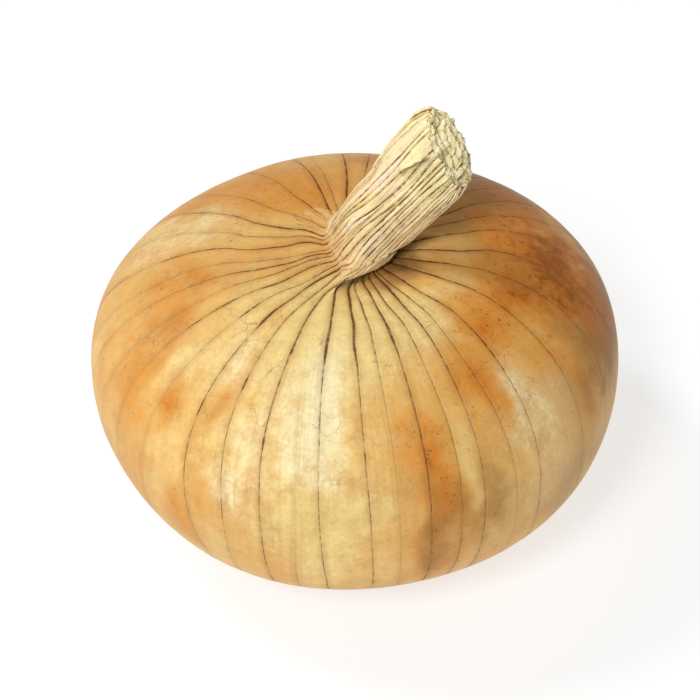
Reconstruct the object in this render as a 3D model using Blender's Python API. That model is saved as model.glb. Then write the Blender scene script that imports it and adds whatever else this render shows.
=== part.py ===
"""A flat yellow onion, whole and dry: one bulb, with its cut, dried neck leaning
to one side and its root plate underneath.  It grew as one piece, so it is one
closed body: a stack of sections, from the root plate up the side of the bulb,
over the shoulder, up the neck's foot and along the neck to the cut.

Metres, +Z up.  The origin is the middle of the underside, where the root plate
rests.  The neck leans towards +X.
"""

import math

import bmesh
import bpy
import numpy as np

MM = 0.001

# ---- bulb -----------------------------------------------------------------
BULB_RADIUS = 45.0  # at its widest level
TOP_HALF = 25.5  # widest level up to the shoulder's crown
BOTTOM_HALF = 27.5  # widest level down to the underside
TOP_FULLNESS = 2.15  # 2 is an ellipse, more is squarer
BOTTOM_FULLNESS = 2.35
DIMPLE_DEPTH = 1.8  # the crown sinks a little round the neck
DIMPLE_RADIUS = 16.0
LEAN_X = 0.017  # the bulb grew slightly out of upright
# Slow swellings round the girth: waves per turn, cosine part, sine part.
SWELLINGS = ((2, 0.0010, 0.0050), (3, 0.0, 0.0060), (4, -0.0013, -0.0020), (5, -0.0060, 0.0030))

# ---- root plate -----------------------------------------------------------
PLATE_RADIUS = 9.2  # the flat corky disc that it rests on
PLATE_DROP = 27.6  # widest level down to the resting face
PLATE_EDGE = 0.9  # height of the disc's worn edge
GROOVE_RADIUS = 11.0  # the skin is drawn in round the plate
GROOVE_DEPTH = 0.9
GROOVE_WIDTH = 2.5

# ---- neck -----------------------------------------------------------------
NECK_AXIS = (0.639, 0.044, 0.768)
NECK_BROAD = (-0.695, 0.462, 0.551)  # along the broad side of the flattened neck
NECK_AT = (-1.8, 1.8)  # where the neck's straight axis meets the crown
NECK_LENGTH = 26.4
HALF_WIDTH_LEFT = (5.5, 6.75)  # at the foot, at the cut
HALF_WIDTH_RIGHT = (7.1, 7.65)
HALF_THICKNESS = (4.75, 5.0)
NECK_FULLNESS = 2.3
CUT_SLANT = 3.2  # the cut runs further up on the left side
CUT_TIP = 0.8
TURN = math.radians(116)  # the skin that reaches the neck's left side grew from here
# The foot of the neck seen from above, from the back left round the left
# crease to the folded corner in front, and on round the right and the back.
FOOT = (
    (-3.6, 9.0), (-5.0, 6.6), (-5.0, 3.2), (-3.9, 0.2), (-2.8, -2.6), (-2.5, -5.4), (-2.8, -7.9),
    (0.4, -6.0), (2.5, -4.3), (4.3, -2.0), (5.4, 0.8), (5.2, 4.2), (3.0, 7.4), (-0.4, 9.2),
)
FOOT_CORNER = 6  # which of these is the folded corner
FOOT_FROM, FOOT_TO = 120.0, 254.0  # skin azimuths of the first point and of the corner
FOOT_HEIGHT = 9.0  # the foot turns into the straight neck over this length
FACE_SWELL = 0.4  # the broad face stands up before it leans over
FOLD_SWELL = 1.5  # the fold in front bulges out over the crown
FILLET = 1.3
FILLET_CORNER = 2.7

# ---- cut end --------------------------------------------------------------
SHEATH = 0.84  # the outer leaf sheath is this thin a rim
CORE_DROP = 0.5  # and the packed leaf bases inside it sit this much lower
CORE_DOME = 0.7

# ---- how finely it is divided ----------------------------------------------
AROUND = 64
ROWS_UNDER, ROWS_OVER, ROWS_FILLET, ROWS_NECK = 14, 23, 4, 11

# The widest level's centre, placed so that the box of the whole onion is
# centred on the origin and the root plate is at z = 0.
CENTRE = np.array([0.26, 0.16, PLATE_DROP])


def unit(v):
    v = np.asarray(v, float)
    return v / np.linalg.norm(v)


AXIS = unit(NECK_AXIS)
BROAD = unit(np.asarray(NECK_BROAD) - AXIS * np.dot(NECK_BROAD, AXIS))
FACING = np.cross(AXIS, BROAD)
UP_LEFT = np.array([-0.77, 0.0, 0.64])


def smooth(x):
    x = np.clip(x, 0, 1)
    return x * x * (3 - 2 * x)


def swelling(azimuth):
    return 1 + sum(c * np.cos(n * azimuth) + s * np.sin(n * azimuth) for n, c, s in SWELLINGS)


def side(angle):
    """Radius and height of the bulb's side, at an angle up from its widest level."""
    s, c = np.sin(angle), np.abs(np.cos(angle))
    upper = smooth((s + 0.6) / 1.2)
    half = BOTTOM_HALF + (TOP_HALF - BOTTOM_HALF) * upper
    p = BOTTOM_FULLNESS + (TOP_FULLNESS - BOTTOM_FULLNESS) * upper
    out = ((c / BULB_RADIUS) ** p + (np.abs(s) / half) ** p) ** (-1 / p)
    r, z = out * c, out * s
    return r, z - np.where(z > 0, DIMPLE_DEPTH * np.exp(-((r / DIMPLE_RADIUS) ** 2)), 0)


ANGLES = np.linspace(-math.pi / 2, math.pi / 2, 4001)
SIDE_R, SIDE_Z = side(ANGLES)
WIDEST = int(np.argmax(SIDE_R))


def crown(r):
    return np.interp(r, SIDE_R[WIDEST:][::-1], SIDE_Z[WIDEST:][::-1])


def underside(r):
    z = np.interp(r, SIDE_R[: WIDEST + 1], SIDE_Z[: WIDEST + 1])
    return z + GROOVE_DEPTH * np.exp(-(((r - GROOVE_RADIUS) / GROOVE_WIDTH) ** 2))


def crown_at(x, y):
    """Height of the crown over points seen from above."""
    z = np.full_like(x, TOP_HALF - DIMPLE_DEPTH)
    for _ in range(4):
        along = x - LEAN_X * z
        z = crown(np.hypot(along, y) / swelling(np.arctan2(y, along)))
    return z


def on_bulb(r, azimuth, height):
    out = r * swelling(azimuth)
    return np.stack([out * np.cos(azimuth) + LEAN_X * height, out * np.sin(azimuth), height + 0 * azimuth], -1)


NECK_ROOT = np.array([NECK_AT[0], NECK_AT[1], crown_at(np.array([NECK_AT[0]]), np.array([NECK_AT[1]]))[0]])


def foot_outline(azimuth):
    """The foot's outline, a smooth closed curve through FOOT, by the skin's azimuth."""
    pts = np.array(FOOT)
    n = len(pts)
    run = np.concatenate([[0], np.cumsum(np.hypot(*(np.roll(pts, -1, 0) - pts).T))])
    corner = run[FOOT_CORNER]
    marks = np.where(
        np.arange(n + 1) <= FOOT_CORNER,
        FOOT_FROM + (FOOT_TO - FOOT_FROM) * run / corner,
        FOOT_TO + (FOOT_FROM + 360 - FOOT_TO) * (run - corner) / (run[n] - corner),
    )
    t = (np.degrees(azimuth) - FOOT_FROM) % 360 + FOOT_FROM
    i = np.clip(np.searchsorted(marks, t, side="right") - 1, 0, n - 1)
    f = ((t - marks[i]) / (marks[i + 1] - marks[i]))[:, None]
    a, b, c, d = pts[(i - 1) % n], pts[i], pts[(i + 1) % n], pts[(i + 2) % n]
    return 0.5 * (2 * b + (c - a) * f + (2 * a - 5 * b + 4 * c - d) * f * f + (3 * b - a - 3 * c + d) * f**3)


def neck_section(turn, h):
    """The straight neck's flattened section, h along its axis."""
    c, s = np.cos(turn), np.sin(turn)
    left = HALF_WIDTH_LEFT[0] + (HALF_WIDTH_LEFT[1] - HALF_WIDTH_LEFT[0]) * smooth(h / 27)
    right = HALF_WIDTH_RIGHT[0] + (HALF_WIDTH_RIGHT[1] - HALF_WIDTH_RIGHT[0]) * np.clip((h - 14) / 12, 0, 1) ** 2
    thick = HALF_THICKNESS[0] + (HALF_THICKNESS[1] - HALF_THICKNESS[0]) * np.clip((h - 18) / 8, 0, 1) ** 2
    x = (left + right) / 2 * np.sign(c) * np.abs(c) ** (2 / NECK_FULLNESS) + (left - right) / 2
    y = thick * np.sign(s) * np.abs(s) ** (2 / NECK_FULLNESS)
    return NECK_ROOT + h[:, None] * AXIS + x[:, None] * BROAD + y[:, None] * FACING


def bump(azimuth, at, width):
    off = np.angle(np.exp(1j * (azimuth - math.radians(at)))) / math.radians(width)
    return np.exp(-(off**2))


def neck_skin(turn, foot, foot_h, h):
    """The neck's skin at h along its axis, rising from its foot's outline."""
    azimuth = np.arctan2(foot[:, 1], foot[:, 0])
    up = h - foot_h
    face = FACE_SWELL * bump(azimuth, 185, 50) * (up / 3) * np.exp(1 - up / 3)
    fold = FOLD_SWELL * bump(azimuth, 305, 38) * (up / 1.8) * np.exp(1 - up / 1.8)
    outward = np.stack([np.cos(azimuth), np.sin(azimuth), 0.25 + 0 * azimuth], -1)
    rising = foot + up[:, None] * AXIS + face[:, None] * UP_LEFT + fold[:, None] * outward
    w = smooth(up / FOOT_HEIGHT)[:, None]
    return rising * (1 - w) + neck_section(turn, h) * w


def sections():
    """Every ring of the onion's outside, from the root plate to the cut's middle."""
    azimuth = np.linspace(0, 2 * math.pi, AROUND, endpoint=False)
    turn = azimuth - TURN
    rings = []
    # root plate: flat disc, then its worn edge
    for r, z in ((PLATE_RADIUS, -PLATE_DROP), (PLATE_RADIUS + 0.7, -PLATE_DROP + PLATE_EDGE)):
        rings.append(on_bulb(r, azimuth, z))
    # underside and lower side
    start = np.interp(GROOVE_RADIUS, SIDE_R[: WIDEST + 1], ANGLES[: WIDEST + 1])
    for angle in np.linspace(start, ANGLES[WIDEST], ROWS_UNDER):
        r = float(np.interp(angle, ANGLES, SIDE_R))
        rings.append(on_bulb(r, azimuth, underside(r)))
    # upper side and crown, turning from round to the outline of the neck's foot
    plan = foot_outline(azimuth)
    foot = np.column_stack([plan, crown_at(plan[:, 0], plan[:, 1])])
    foot_h = (foot - NECK_ROOT) @ AXIS
    along = foot[:, 0] - LEAN_X * foot[:, 2]
    foot_azimuth = np.arctan2(foot[:, 1], along)
    foot_r = np.hypot(along, foot[:, 1]) / swelling(foot_azimuth)
    drift = np.angle(np.exp(1j * (foot_azimuth - azimuth)))
    corner = np.angle(np.exp(1j * (turn - math.radians(160)))) / math.radians(28)
    fillet = FILLET + FILLET_CORNER * np.exp(-(corner**2))
    last = np.interp(-(foot_r + fillet), -SIDE_R[WIDEST:], ANGLES[WIDEST:])
    for u in np.linspace(0, 1, ROWS_OVER)[1:]:
        angle = ANGLES[WIDEST] + (last - ANGLES[WIDEST]) * u**0.9
        r = np.interp(angle, ANGLES, SIDE_R)
        w = 1 - smooth((r - foot_r) / (20 - foot_r))
        rings.append(on_bulb(r, azimuth + drift * w, crown(r)))
    # the crease where the skin turns up into the neck
    below, above = rings[-1], neck_skin(turn, foot, foot_h, foot_h + fillet * 1.1)
    for u in np.linspace(0, 1, ROWS_FILLET + 1)[1:]:
        rings.append((1 - u) ** 2 * below + 2 * u * (1 - u) * foot + u * u * above)
    # the neck, up to the slanting cut
    cut_h = NECK_LENGTH + CUT_SLANT * np.cos(turn) - CUT_TIP * np.sin(turn)
    for u in np.linspace(0, 1, ROWS_NECK)[1:]:
        rings.append(neck_skin(turn, foot, foot_h, (foot_h + fillet * 1.1) * (1 - u) + cut_h * u))
    # the cut: rim of the outer sheath, a step down, and the packed leaf bases
    rim = rings[-1]
    middle = rim.mean(0)
    for scale, drop in ((SHEATH, 0.0), (SHEATH - 0.05, CORE_DROP), (0.45, CORE_DROP - 0.8 * CORE_DOME)):
        rings.append(middle + (rim - middle) * scale - AXIS * drop)
    return [ring + CENTRE for ring in rings]


def skin_material():
    material = bpy.data.materials.new("onion_skin")
    material.use_nodes = True
    shader = material.node_tree.nodes["Principled BSDF"]
    shader.inputs["Base Color"].default_value = (0.62, 0.34, 0.11, 1)
    shader.inputs["Roughness"].default_value = 0.42
    shader.inputs["Metallic"].default_value = 0.0
    material.diffuse_color = (0.62, 0.34, 0.11, 1)
    return material


def build():
    for obj in list(bpy.data.objects):
        bpy.data.objects.remove(obj, do_unlink=True)
    rings = sections()
    bm = bmesh.new()
    loops = []
    for ring in rings:
        circle = bmesh.ops.create_circle(bm, segments=AROUND, radius=1.0, cap_ends=False)
        verts = circle["verts"]
        for vert, point in zip(verts, ring):
            vert.co = point * MM
        loops.append(verts)
    for lower, upper in zip(loops, loops[1:]):
        for k in range(AROUND):
            n = (k + 1) % AROUND
            bm.faces.new((lower[k], lower[n], upper[n], upper[k]))
    # close the resting face and the middle of the cut
    bm.faces.new(list(reversed(loops[0])))
    cap = bm.faces.new(loops[-1])
    bmesh.ops.poke(bm, faces=[cap])
    bmesh.ops.recalc_face_normals(bm, faces=bm.faces)
    mesh = bpy.data.meshes.new("onion")
    bm.to_mesh(mesh)
    bm.free()
    mesh.shade_smooth()
    mesh.set_sharp_from_angle(angle=math.radians(50))
    mesh.materials.append(skin_material())
    onion = bpy.data.objects.new("onion", mesh)
    collection = bpy.data.collections.new("yellow_onion")
    bpy.context.scene.collection.children.link(collection)
    collection.objects.link(onion)
    return onion


build()
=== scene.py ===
"""The looks of a whole, dry yellow onion: the papery skin of the bulb with its
dark veins and stains, the pleated dried neck, the ragged leaf sheaths at its
cut, a peeled strip and torn collar of skin, and the corky root plate.

Metres, +Z up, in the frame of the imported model.
"""

import math

import bpy
import numpy as np
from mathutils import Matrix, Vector


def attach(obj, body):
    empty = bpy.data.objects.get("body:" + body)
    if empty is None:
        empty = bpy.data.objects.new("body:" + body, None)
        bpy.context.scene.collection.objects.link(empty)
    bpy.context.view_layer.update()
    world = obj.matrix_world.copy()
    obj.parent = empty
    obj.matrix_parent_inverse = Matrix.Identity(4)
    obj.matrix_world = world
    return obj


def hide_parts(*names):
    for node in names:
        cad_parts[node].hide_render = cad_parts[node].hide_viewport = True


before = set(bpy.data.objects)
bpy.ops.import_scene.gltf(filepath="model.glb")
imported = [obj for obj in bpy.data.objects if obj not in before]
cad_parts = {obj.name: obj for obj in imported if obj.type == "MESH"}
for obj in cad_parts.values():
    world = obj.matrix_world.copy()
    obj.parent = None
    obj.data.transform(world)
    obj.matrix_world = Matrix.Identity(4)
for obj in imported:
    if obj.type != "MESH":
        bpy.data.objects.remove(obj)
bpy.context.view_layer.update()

MM = 0.001

# ---- the onion's form, in millimetres, as the solid has it -------------------
BULB_RADIUS = 45.0
TOP_HALF = 25.5
BOTTOM_HALF = 27.5
TOP_FULLNESS = 2.15
BOTTOM_FULLNESS = 2.35
DIMPLE_DEPTH = 1.8
DIMPLE_RADIUS = 16.0
LEAN_X = 0.017
SWELLINGS = ((2, 0.0010, 0.0050), (3, 0.0, 0.0060), (4, -0.0013, -0.0020), (5, -0.0060, 0.0030))
PLATE_DROP = 27.6
GROOVE_RADIUS = 11.0
GROOVE_DEPTH = 0.9
GROOVE_WIDTH = 2.5
NECK_AXIS = (0.639, 0.044, 0.768)
NECK_BROAD = (-0.695, 0.462, 0.551)
NECK_AT = (-1.8, 1.8)
NECK_LENGTH = 26.4
HALF_WIDTH_LEFT = (5.5, 6.75)
HALF_WIDTH_RIGHT = (7.1, 7.65)
HALF_THICKNESS = (4.75, 5.0)
NECK_FULLNESS = 2.3
CUT_SLANT = 3.2
CUT_TIP = 0.8
TURN = math.radians(116)
FOOT = (
    (-3.6, 9.0), (-5.0, 6.6), (-5.0, 3.2), (-3.9, 0.2), (-2.8, -2.6), (-2.5, -5.4), (-2.8, -7.9),
    (0.4, -6.0), (2.5, -4.3), (4.3, -2.0), (5.4, 0.8), (5.2, 4.2), (3.0, 7.4), (-0.4, 9.2),
)
FOOT_CORNER = 6
FOOT_FROM, FOOT_TO = 120.0, 254.0
FOOT_HEIGHT = 9.0
FACE_SWELL = 0.4
FOLD_SWELL = 1.5
FILLET = 1.3
FILLET_CORNER = 2.7
CENTRE = np.array([0.26, 0.16, PLATE_DROP])

# ---- veins of the skin ---------------------------------------------------------
# Each vein runs from the root plate up the bulb and on into the neck.  Its
# azimuth in degrees is given at these levels (mm of skin from the root plate;
# the neck starts at 97), then how dark it is high, midway and low on the bulb.
LEVELS = (38, 52, 66, 80, 86, 90, 93, 97)
VEINS = (
    (94, 94, 94.3, 94.5, 95.4, 96.5, 97.6, 98.3, 0.95, 0.7, 0.4),
    (103, 103, 103.5, 104, 104.6, 105.5, 107, 109.5, 0.35, 0.3, 0.3),
    (108, 108, 108.5, 108.9, 109.8, 111.6, 115.2, 121, 0.85, 0.65, 0.4),
    (122, 122, 122, 122.6, 123.8, 125.5, 128.7, 133, 0.55, 0.5, 0.35),
    (137, 137, 138, 138.4, 139.7, 141.3, 144, 147, 0.45, 0.45, 0.3),
    (148.6, 148.6, 148.9, 150.8, 154.9, 159.8, 159.3, 161, 0.85, 0.7, 0.4),
    (159.5, 159.5, 160.3, 162.5, 166.8, 170.5, 168.1, 168.5, 0.55, 0.4, 0.25),
    (172.5, 172.9, 173.3, 173.5, 178.6, 180.8, 176.9, 176, 0.9, 0.75, 0.35),
    (182.3, 182.3, 182.8, 183.6, 189.6, 192.8, 191.7, 185, 0.45, 0.25, 0.2),
    (189.3, 189.3, 189.7, 191.3, 195.9, 197.5, 194.5, 191.7, 0.75, 0.35, 0.25),
    (198.3, 198.3, 198.7, 199.2, 202.1, 201.2, 199, 197.6, 0.6, 0.3, 0.25),
    (207.6, 207, 206.3, 207.2, 209.3, 207.2, 205.2, 206, 0.95, 0.4, 0.3),
    (219, 218.1, 216.6, 216.5, 216.4, 216.9, 215, 213.8, 0.55, 0.35, 0.35),
    (236.3, 231.7, 227.7, 225.7, 224.7, 221.1, 220, 222.3, 1, 0.6, 0.55),
    (243.3, 241.4, 237, 234.1, 233.3, 231.6, 230.9, 229.5, 0.65, 0.6, 0.5),
    (251.6, 250.1, 247.1, 244.4, 242.7, 240.8, 239.6, 247.5, 1, 0.85, 0.7),
    (257.6, 257.6, 255.5, 251.9, 253, 252.5, 252, 252, 0, 0.1, 0.45),
    (264, 262.5, 260.8, 257.9, 256.4, 256.6, 257.8, 258, 1, 0.6, 0.85),
    (274, 273, 271.6, 269.8, 268, 269.6, 271.8, 275, 0.95, 0.65, 0.6),
    (279.8, 279.1, 278.6, 277.1, 276.2, 277.5, 280.2, 281.6, 0.55, 0.2, 0.35),
    (286.1, 285.8, 285.9, 285.6, 285.2, 287.9, 291.1, 292.2, 0.95, 0.85, 0.8),
    (292.3, 292.7, 293.5, 293.4, 293.7, 295.5, 298.6, 301.1, 0.6, 0.45, 0.7),
    (297.4, 298, 299.4, 300.7, 301.3, 305.5, 308.3, 309.4, 0.9, 0.65, 0.7),
    (305.4, 305.9, 306.8, 307.2, 309, 311.6, 312.8, 314.8, 0.55, 0.35, 0.35),
    (311.6, 312.2, 315.1, 318.3, 318.4, 320.3, 322.3, 322.2, 0.95, 0.6, 0.55),
    (325.2, 326.6, 332, 336.1, 335.1, 334.8, 335.3, 334.1, 0.9, 0.5, 0.4),
    (336.5, 339.6, 348.2, 350.9, 348.6, 345.5, 345.5, 344.7, 0.9, 0.5, 0.4),
    (350.1, 353.9, 361, 365.2, 360.5, 358.2, 356.8, 354.6, 0.85, 0.45, 0.35),
    (368, 371, 376, 378.9, 375.8, 371.2, 367, 362.5, 0.8, 0.5, 0.35),
    (383, 384, 386.5, 388.2, 385.5, 381.4, 377.4, 373.5, 0.75, 0.55, 0.35),
    (394, 395, 396, 396.8, 394, 390.4, 387.8, 385, 0.8, 0.6, 0.4),
    (404, 404.5, 405, 405, 403.5, 401, 399, 396, 0.5, 0.4, 0.3),
    (413, 413, 413, 413, 412, 411, 410, 408, 0.9, 0.6, 0.4),
    (421, 421, 421, 421, 420.5, 420, 419, 418.5, 0.45, 0.3, 0.3),
    (429, 429.5, 430, 430, 430, 430, 430, 430, 0.85, 0.55, 0.4),
    (438, 438, 438.5, 439, 439.5, 440, 440.5, 441, 0.5, 0.4, 0.3),
    (446, 446, 446, 446.5, 447, 447.5, 448, 449, 0.75, 0.6, 0.4),
)
# Pleats of the dried neck: azimuth at these shares of its length (0 foot, 1 cut),
# how deep, and where each one starts and ends.
SHARES = (0.0, 0.08, 0.18, 0.3, 0.45, 0.7, 1.0)
PLEATS = (
    (98.3, 98, 98, 97, 97, 96, 96, 0.8, -0.2, 1.2), (109.5, 109, 108, 108, 108, 107, 107, 0.6, -0.2, 1.2),
    (121, 120, 120, 119, 119, 118, 117, 0.9, -0.2, 1.2), (133, 131, 130, 129, 129, 128, 127, 0.8, -0.2, 1.2),
    (147, 144, 141, 140, 140, 138, 137, 0.9, -0.2, 1.2), (153, 150, 148, 147, 148, 147, 146, 0.6, 0.0, 1.2),
    (161, 159, 157.5, 158, 163, 168, 165, 0.8, -0.2, 1.2), (168.5, 167, 165, 165.5, 172, 177, 173, 0.7, -0.2, 1.2),
    (176, 171.5, 169, 170.5, 180, 187, 187, 0.9, -0.2, 0.80), (181, 180, 179.5, 179, 183, 190, 190, 0.55, 0.0, 0.36),
    (185, 187.5, 188, 188, 194.5, 199, 196, 0.9, -0.2, 1.2), (191.7, 193.5, 194, 194, 198, 202, 201, 0.55, -0.2, 0.9),
    (197.6, 198, 198, 197.8, 201, 205, 203, 0.35, -0.2, 1.2), (206, 203.5, 202, 201.5, 204.7, 208, 205, 0.95, -0.2, 1.2),
    (213.8, 214.5, 211, 208.6, 210, 213, 210, 0.85, -0.2, 1.2), (217.5, 220, 214.5, 212.2, 213, 215, 213.5, 0.35, 0.0, 0.8),
    (222.3, 230.5, 222, 216.8, 216.4, 218, 217, 1.0, -0.2, 1.2), (229.5, 241.5, 232, 224.5, 223, 223.6, 223.6, 1.0, -0.2, 1.2),
    (236, 246.5, 236.5, 229, 227.4, 227.5, 228, 0.45, 0.0, 0.7), (243, 252, 241.5, 234.3, 232, 232, 236, 1.0, -0.2, 1.2),
    (248, 258, 248, 241, 238.5, 238, 240, 0.5, 0.0, 1.2), (251.5, 265, 254.5, 247.5, 245.5, 245, 243, 1.0, -0.2, 1.2),
    (254.5, 275, 262, 255.5, 252.5, 252, 250, 0.6, 0.0, 1.2), (257, 285, 270.5, 264, 261.5, 260, 257, 1.0, 0.0, 1.2),
    (261, 293, 279, 272.5, 268, 266, 264, 0.7, 0.0, 1.2), (266, 301, 288, 281, 275.5, 272, 270, 0.95, 0.0, 1.2),
    (272, 307, 295.5, 288, 282, 278, 277, 0.7, 0.0, 1.2), (279, 313, 303, 296, 290, 285.5, 284, 0.9, 0.0, 1.2),
    (288, 319, 310, 303.5, 298, 293, 291, 0.7, 0.0, 1.2), (297, 325, 317, 311, 306, 301, 299, 0.9, 0.0, 1.2),
    (307.5, 331, 324.5, 319, 314, 309, 307, 0.7, 0.0, 1.2), (320.4, 338, 332, 327, 323, 318, 316, 0.9, -0.1, 1.2),
    (333.9, 345, 341, 337, 333, 329, 327, 0.7, -0.2, 1.2), (344.7, 352, 349, 346, 343, 340, 338, 0.9, -0.2, 1.2),
    (354.6, 359, 357, 355, 353, 351, 349, 0.8, -0.2, 1.2), (362.5, 366, 365, 364, 363, 362, 361, 0.9, -0.2, 1.2),
    (373.5, 375, 375, 374, 374, 374, 373, 0.7, -0.2, 1.2), (385, 385, 385, 385, 385, 385, 385, 0.9, -0.2, 1.2),
    (396, 396, 396, 396, 396, 396, 396, 0.7, -0.2, 1.2), (408, 407, 407, 407, 407, 406, 406, 0.9, -0.2, 1.2),
    (418.5, 418, 417, 417, 417, 416, 416, 0.7, -0.2, 1.2), (430, 429, 428, 428, 427, 427, 426, 0.9, -0.2, 1.2),
    (441, 440, 439, 438, 438, 437, 437, 0.7, -0.2, 1.2), (449, 448, 448, 447, 447, 446, 446, 0.9, -0.2, 1.2),
)
# Stains of the skin: pigment, azimuth, level, half width in degrees, half
# height in mm, strength.  Noise frays their edges.  Some olive ones are painted
# shade, not stain: those at azimuth 392 to 408 and at 350, level 97, paint the
# neck's shadow on the crown, and those at 350 to 364, level 57 to 61, paint the
# shading of the right flank.
STAINS = (
    ("amber", 124, 80, 34, 19, 0.9), ("straw", 166, 81, 11, 9, 0.35), ("cream", 160, 78, 11, 7, 0.3), ("cream", 158, 66, 14, 9, 0.4), ("straw", 152, 76, 12, 8, 0.45), ("amber", 176, 84, 16, 8, 0.3),
    ("amber", 188, 73, 15, 8, 0.6), ("rust", 190, 75, 8, 4, 0.3), ("olive_and_painted_shade", 186, 75, 8, 3.5, 0.3), ("olive_and_painted_shade", 198, 67, 7, 3.5, 0.28), ("rust", 182, 69, 6, 3, 0.35), ("rust", 200, 69, 6, 4, 0.25),
    ("amber", 194, 65, 12, 8, 0.4), ("amber", 206, 58, 8, 7, 0.6), ("amber", 206, 48, 24, 12, 0.3), ("rust", 197, 60, 5, 6, 0.22), ("straw", 226, 72, 12, 8, 0.6), ("straw", 224, 54, 8, 9, 0.5), ("straw", 214, 82, 12, 6, 0.5),
    ("cream", 228, 73, 7, 5, 0.45), ("amber", 221.5, 60.5, 4.5, 4.5, 0.8), ("rust", 221, 60.5, 3, 2.4, 0.4), ("straw", 215, 66, 5, 5, 0.7),
    ("amber", 232, 67.5, 3.2, 4, 0.6), ("rust", 232, 66, 1.6, 2.5, 0.4), ("amber", 231, 45, 6, 6, 0.7),
    ("amber", 235, 51, 8, 8, 0.22), ("straw", 258, 89, 40, 11, 1.0), ("straw", 252, 74, 16, 15, 0.6),
    ("cream", 258, 76, 9, 12, 0.85), ("cream", 246, 64, 6, 8, 0.45), ("cream", 242, 55, 4, 5, 0.5),
    ("cream", 261, 68, 7, 8, 0.65), ("straw", 254, 52, 10, 9, 0.6), ("straw", 267, 50, 8, 16, 0.8), ("straw", 238, 61, 5, 6, 0.5),
    ("amber", 281, 65, 4.5, 7, 0.5), ("straw", 272, 78, 9, 9, 0.6), ("amber", 287, 65, 5.5, 8, 0.65), ("rust", 287, 63, 3.5, 5, 0.45), ("amber", 296, 68, 6, 7, 0.25),
    ("olive_and_painted_shade", 288, 49, 5.5, 12, 0.6), ("amber", 288, 56, 5.5, 13, 0.9), ("rust", 288, 54, 3, 8, 0.35), ("straw", 295.6, 56, 2.4, 9, 0.85),
    ("olive_and_painted_shade", 300, 55, 4, 9, 0.55), ("amber", 298, 53, 5, 8, 0.4), ("amber", 287, 46, 8, 10, 0.8), ("straw", 277, 45, 4, 5, 0.2), ("amber", 302, 72, 9, 7, 0.75), ("straw", 302, 85, 26, 7, 0.8),
    ("amber", 324, 76, 18, 7.5, 0.8), ("rust", 320, 75, 10, 4, 0.42), ("rust", 307, 70.5, 4, 5, 0.36), ("amber", 308, 69, 8, 6, 0.35), ("amber", 350, 79, 17, 7, 0.8), ("amber", 345, 68, 30, 12, 0.35),
    ("rust", 336, 74, 9, 4, 0.35), ("rust", 346, 74.5, 6, 3.5, 0.35), ("rust", 359, 70.5, 19, 7, 0.62), ("rust", 367, 69, 11, 6, 0.5), ("rust", 381, 74, 18, 7, 0.6), ("rust", 356, 66, 12, 6, 0.5), ("rust", 364, 60, 16, 6, 0.45), ("amber", 354, 72, 24, 9, 0.75),
    ("amber", 368, 76, 26, 9, 1.0), ("amber", 362, 83, 12, 5, 0.5), ("rust", 372, 72, 8, 5, 0.4), ("pink", 319, 62, 8, 8, 0.7),
    ("cream", 316, 61, 7, 7, 0.5), ("pink", 314, 52, 12, 10, 0.7), ("pink", 328, 58, 8, 8, 0.6), ("olive_and_painted_shade", 350, 60, 15, 8, 0.4),
    ("rust", 396, 70, 12, 5, 0.3), ("amber", 390, 74, 16, 9, 1.2), ("amber", 412, 71, 15, 9, 1.2), ("olive_and_painted_shade", 408, 66, 16, 9, 0.5), ("olive_and_painted_shade", 392, 88, 17, 9, 1.0), ("olive_and_painted_shade", 402, 79, 14, 8, 0.7), ("olive_and_painted_shade", 350, 97, 44, 5, 1.4), ("olive_and_painted_shade", 396, 73, 18, 8, 0.55), ("olive_and_painted_shade", 362, 57, 24, 8, 0.65), ("olive_and_painted_shade", 364, 61, 9, 5, 0.4), ("amber", 350, 56, 30, 9, 0.5), ("olive_and_painted_shade", 322, 44, 18, 9, 0.4), ("olive_and_painted_shade", 296, 47, 10, 7, 0.4), ("amber", 408, 60, 18, 14, 0.5),
    ("cream", 424, 64, 10, 12, 0.5), ("straw", 432, 50, 9, 14, 0.5), ("rust", 440, 74, 12, 5, 0.45),
    ("amber", 440, 76, 18, 9, 0.6), ("amber", 88, 50, 16, 14, 0.5), ("olive_and_painted_shade", 112, 54, 9, 12, 0.35),
    ("cream", 138, 52, 9, 12, 0.4), ("rust", 152, 60, 9, 6, 0.35), ("amber", 168, 46, 14, 12, 0.5),
    ("olive_and_painted_shade", 400, 40, 18, 10, 0.35), ("straw", 330, 40, 14, 8, 0.35), ("olive_and_painted_shade", 190, 36, 20, 8, 0.3),
    ("amber", 285, 34, 40, 10, 0.35),
    ("rust", 150, 111.5, 5, 2.4, 0.85), ("amber", 256, 111, 4, 8, 0.6), ("amber", 138, 105, 13, 5, 0.6),
    ("amber", 275, 107, 7, 4, 0.35), ("pink", 196, 112, 3.5, 3, 0.8), ("pink", 240, 112, 4, 6, 0.6),
    ("pink", 226, 101, 6, 3, 0.5),
)
# Lengths where a vein is thick and black: vein, level, half length, how much.
DASHES = (
    (15, 80, 2.8, 1.0), (15, 70, 1.6, 0.7), (17, 84, 3.4, 1.0), (18, 85.5, 5.5, 0.8), (20, 85, 2.3, 1.0),
    (20, 62.5, 4.2, 0.7), (13, 81, 2.4, 1.1), (13, 63.5, 2.2, 0.7), (14, 70.7, 1.5, 0.9), (12, 79.4, 2.4, 0.8),
    (24, 73, 2.6, 0.8), (11, 76, 3.4, 0.7), (7, 72.5, 2.2, 0.7), (21, 88, 3.0, 0.5), (22, 87, 4.0, 0.6),
    (25, 84, 3.0, 0.5), (2, 84, 3.5, 0.6), (5, 82, 3.0, 0.5), (9, 86, 3.0, 0.6), (32, 80, 4.0, 0.7),
    (34, 70, 3.0, 0.6), (0, 76, 3.0, 0.6), (29, 74, 3.5, 0.6), (30, 84, 3.0, 0.5),
)
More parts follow.
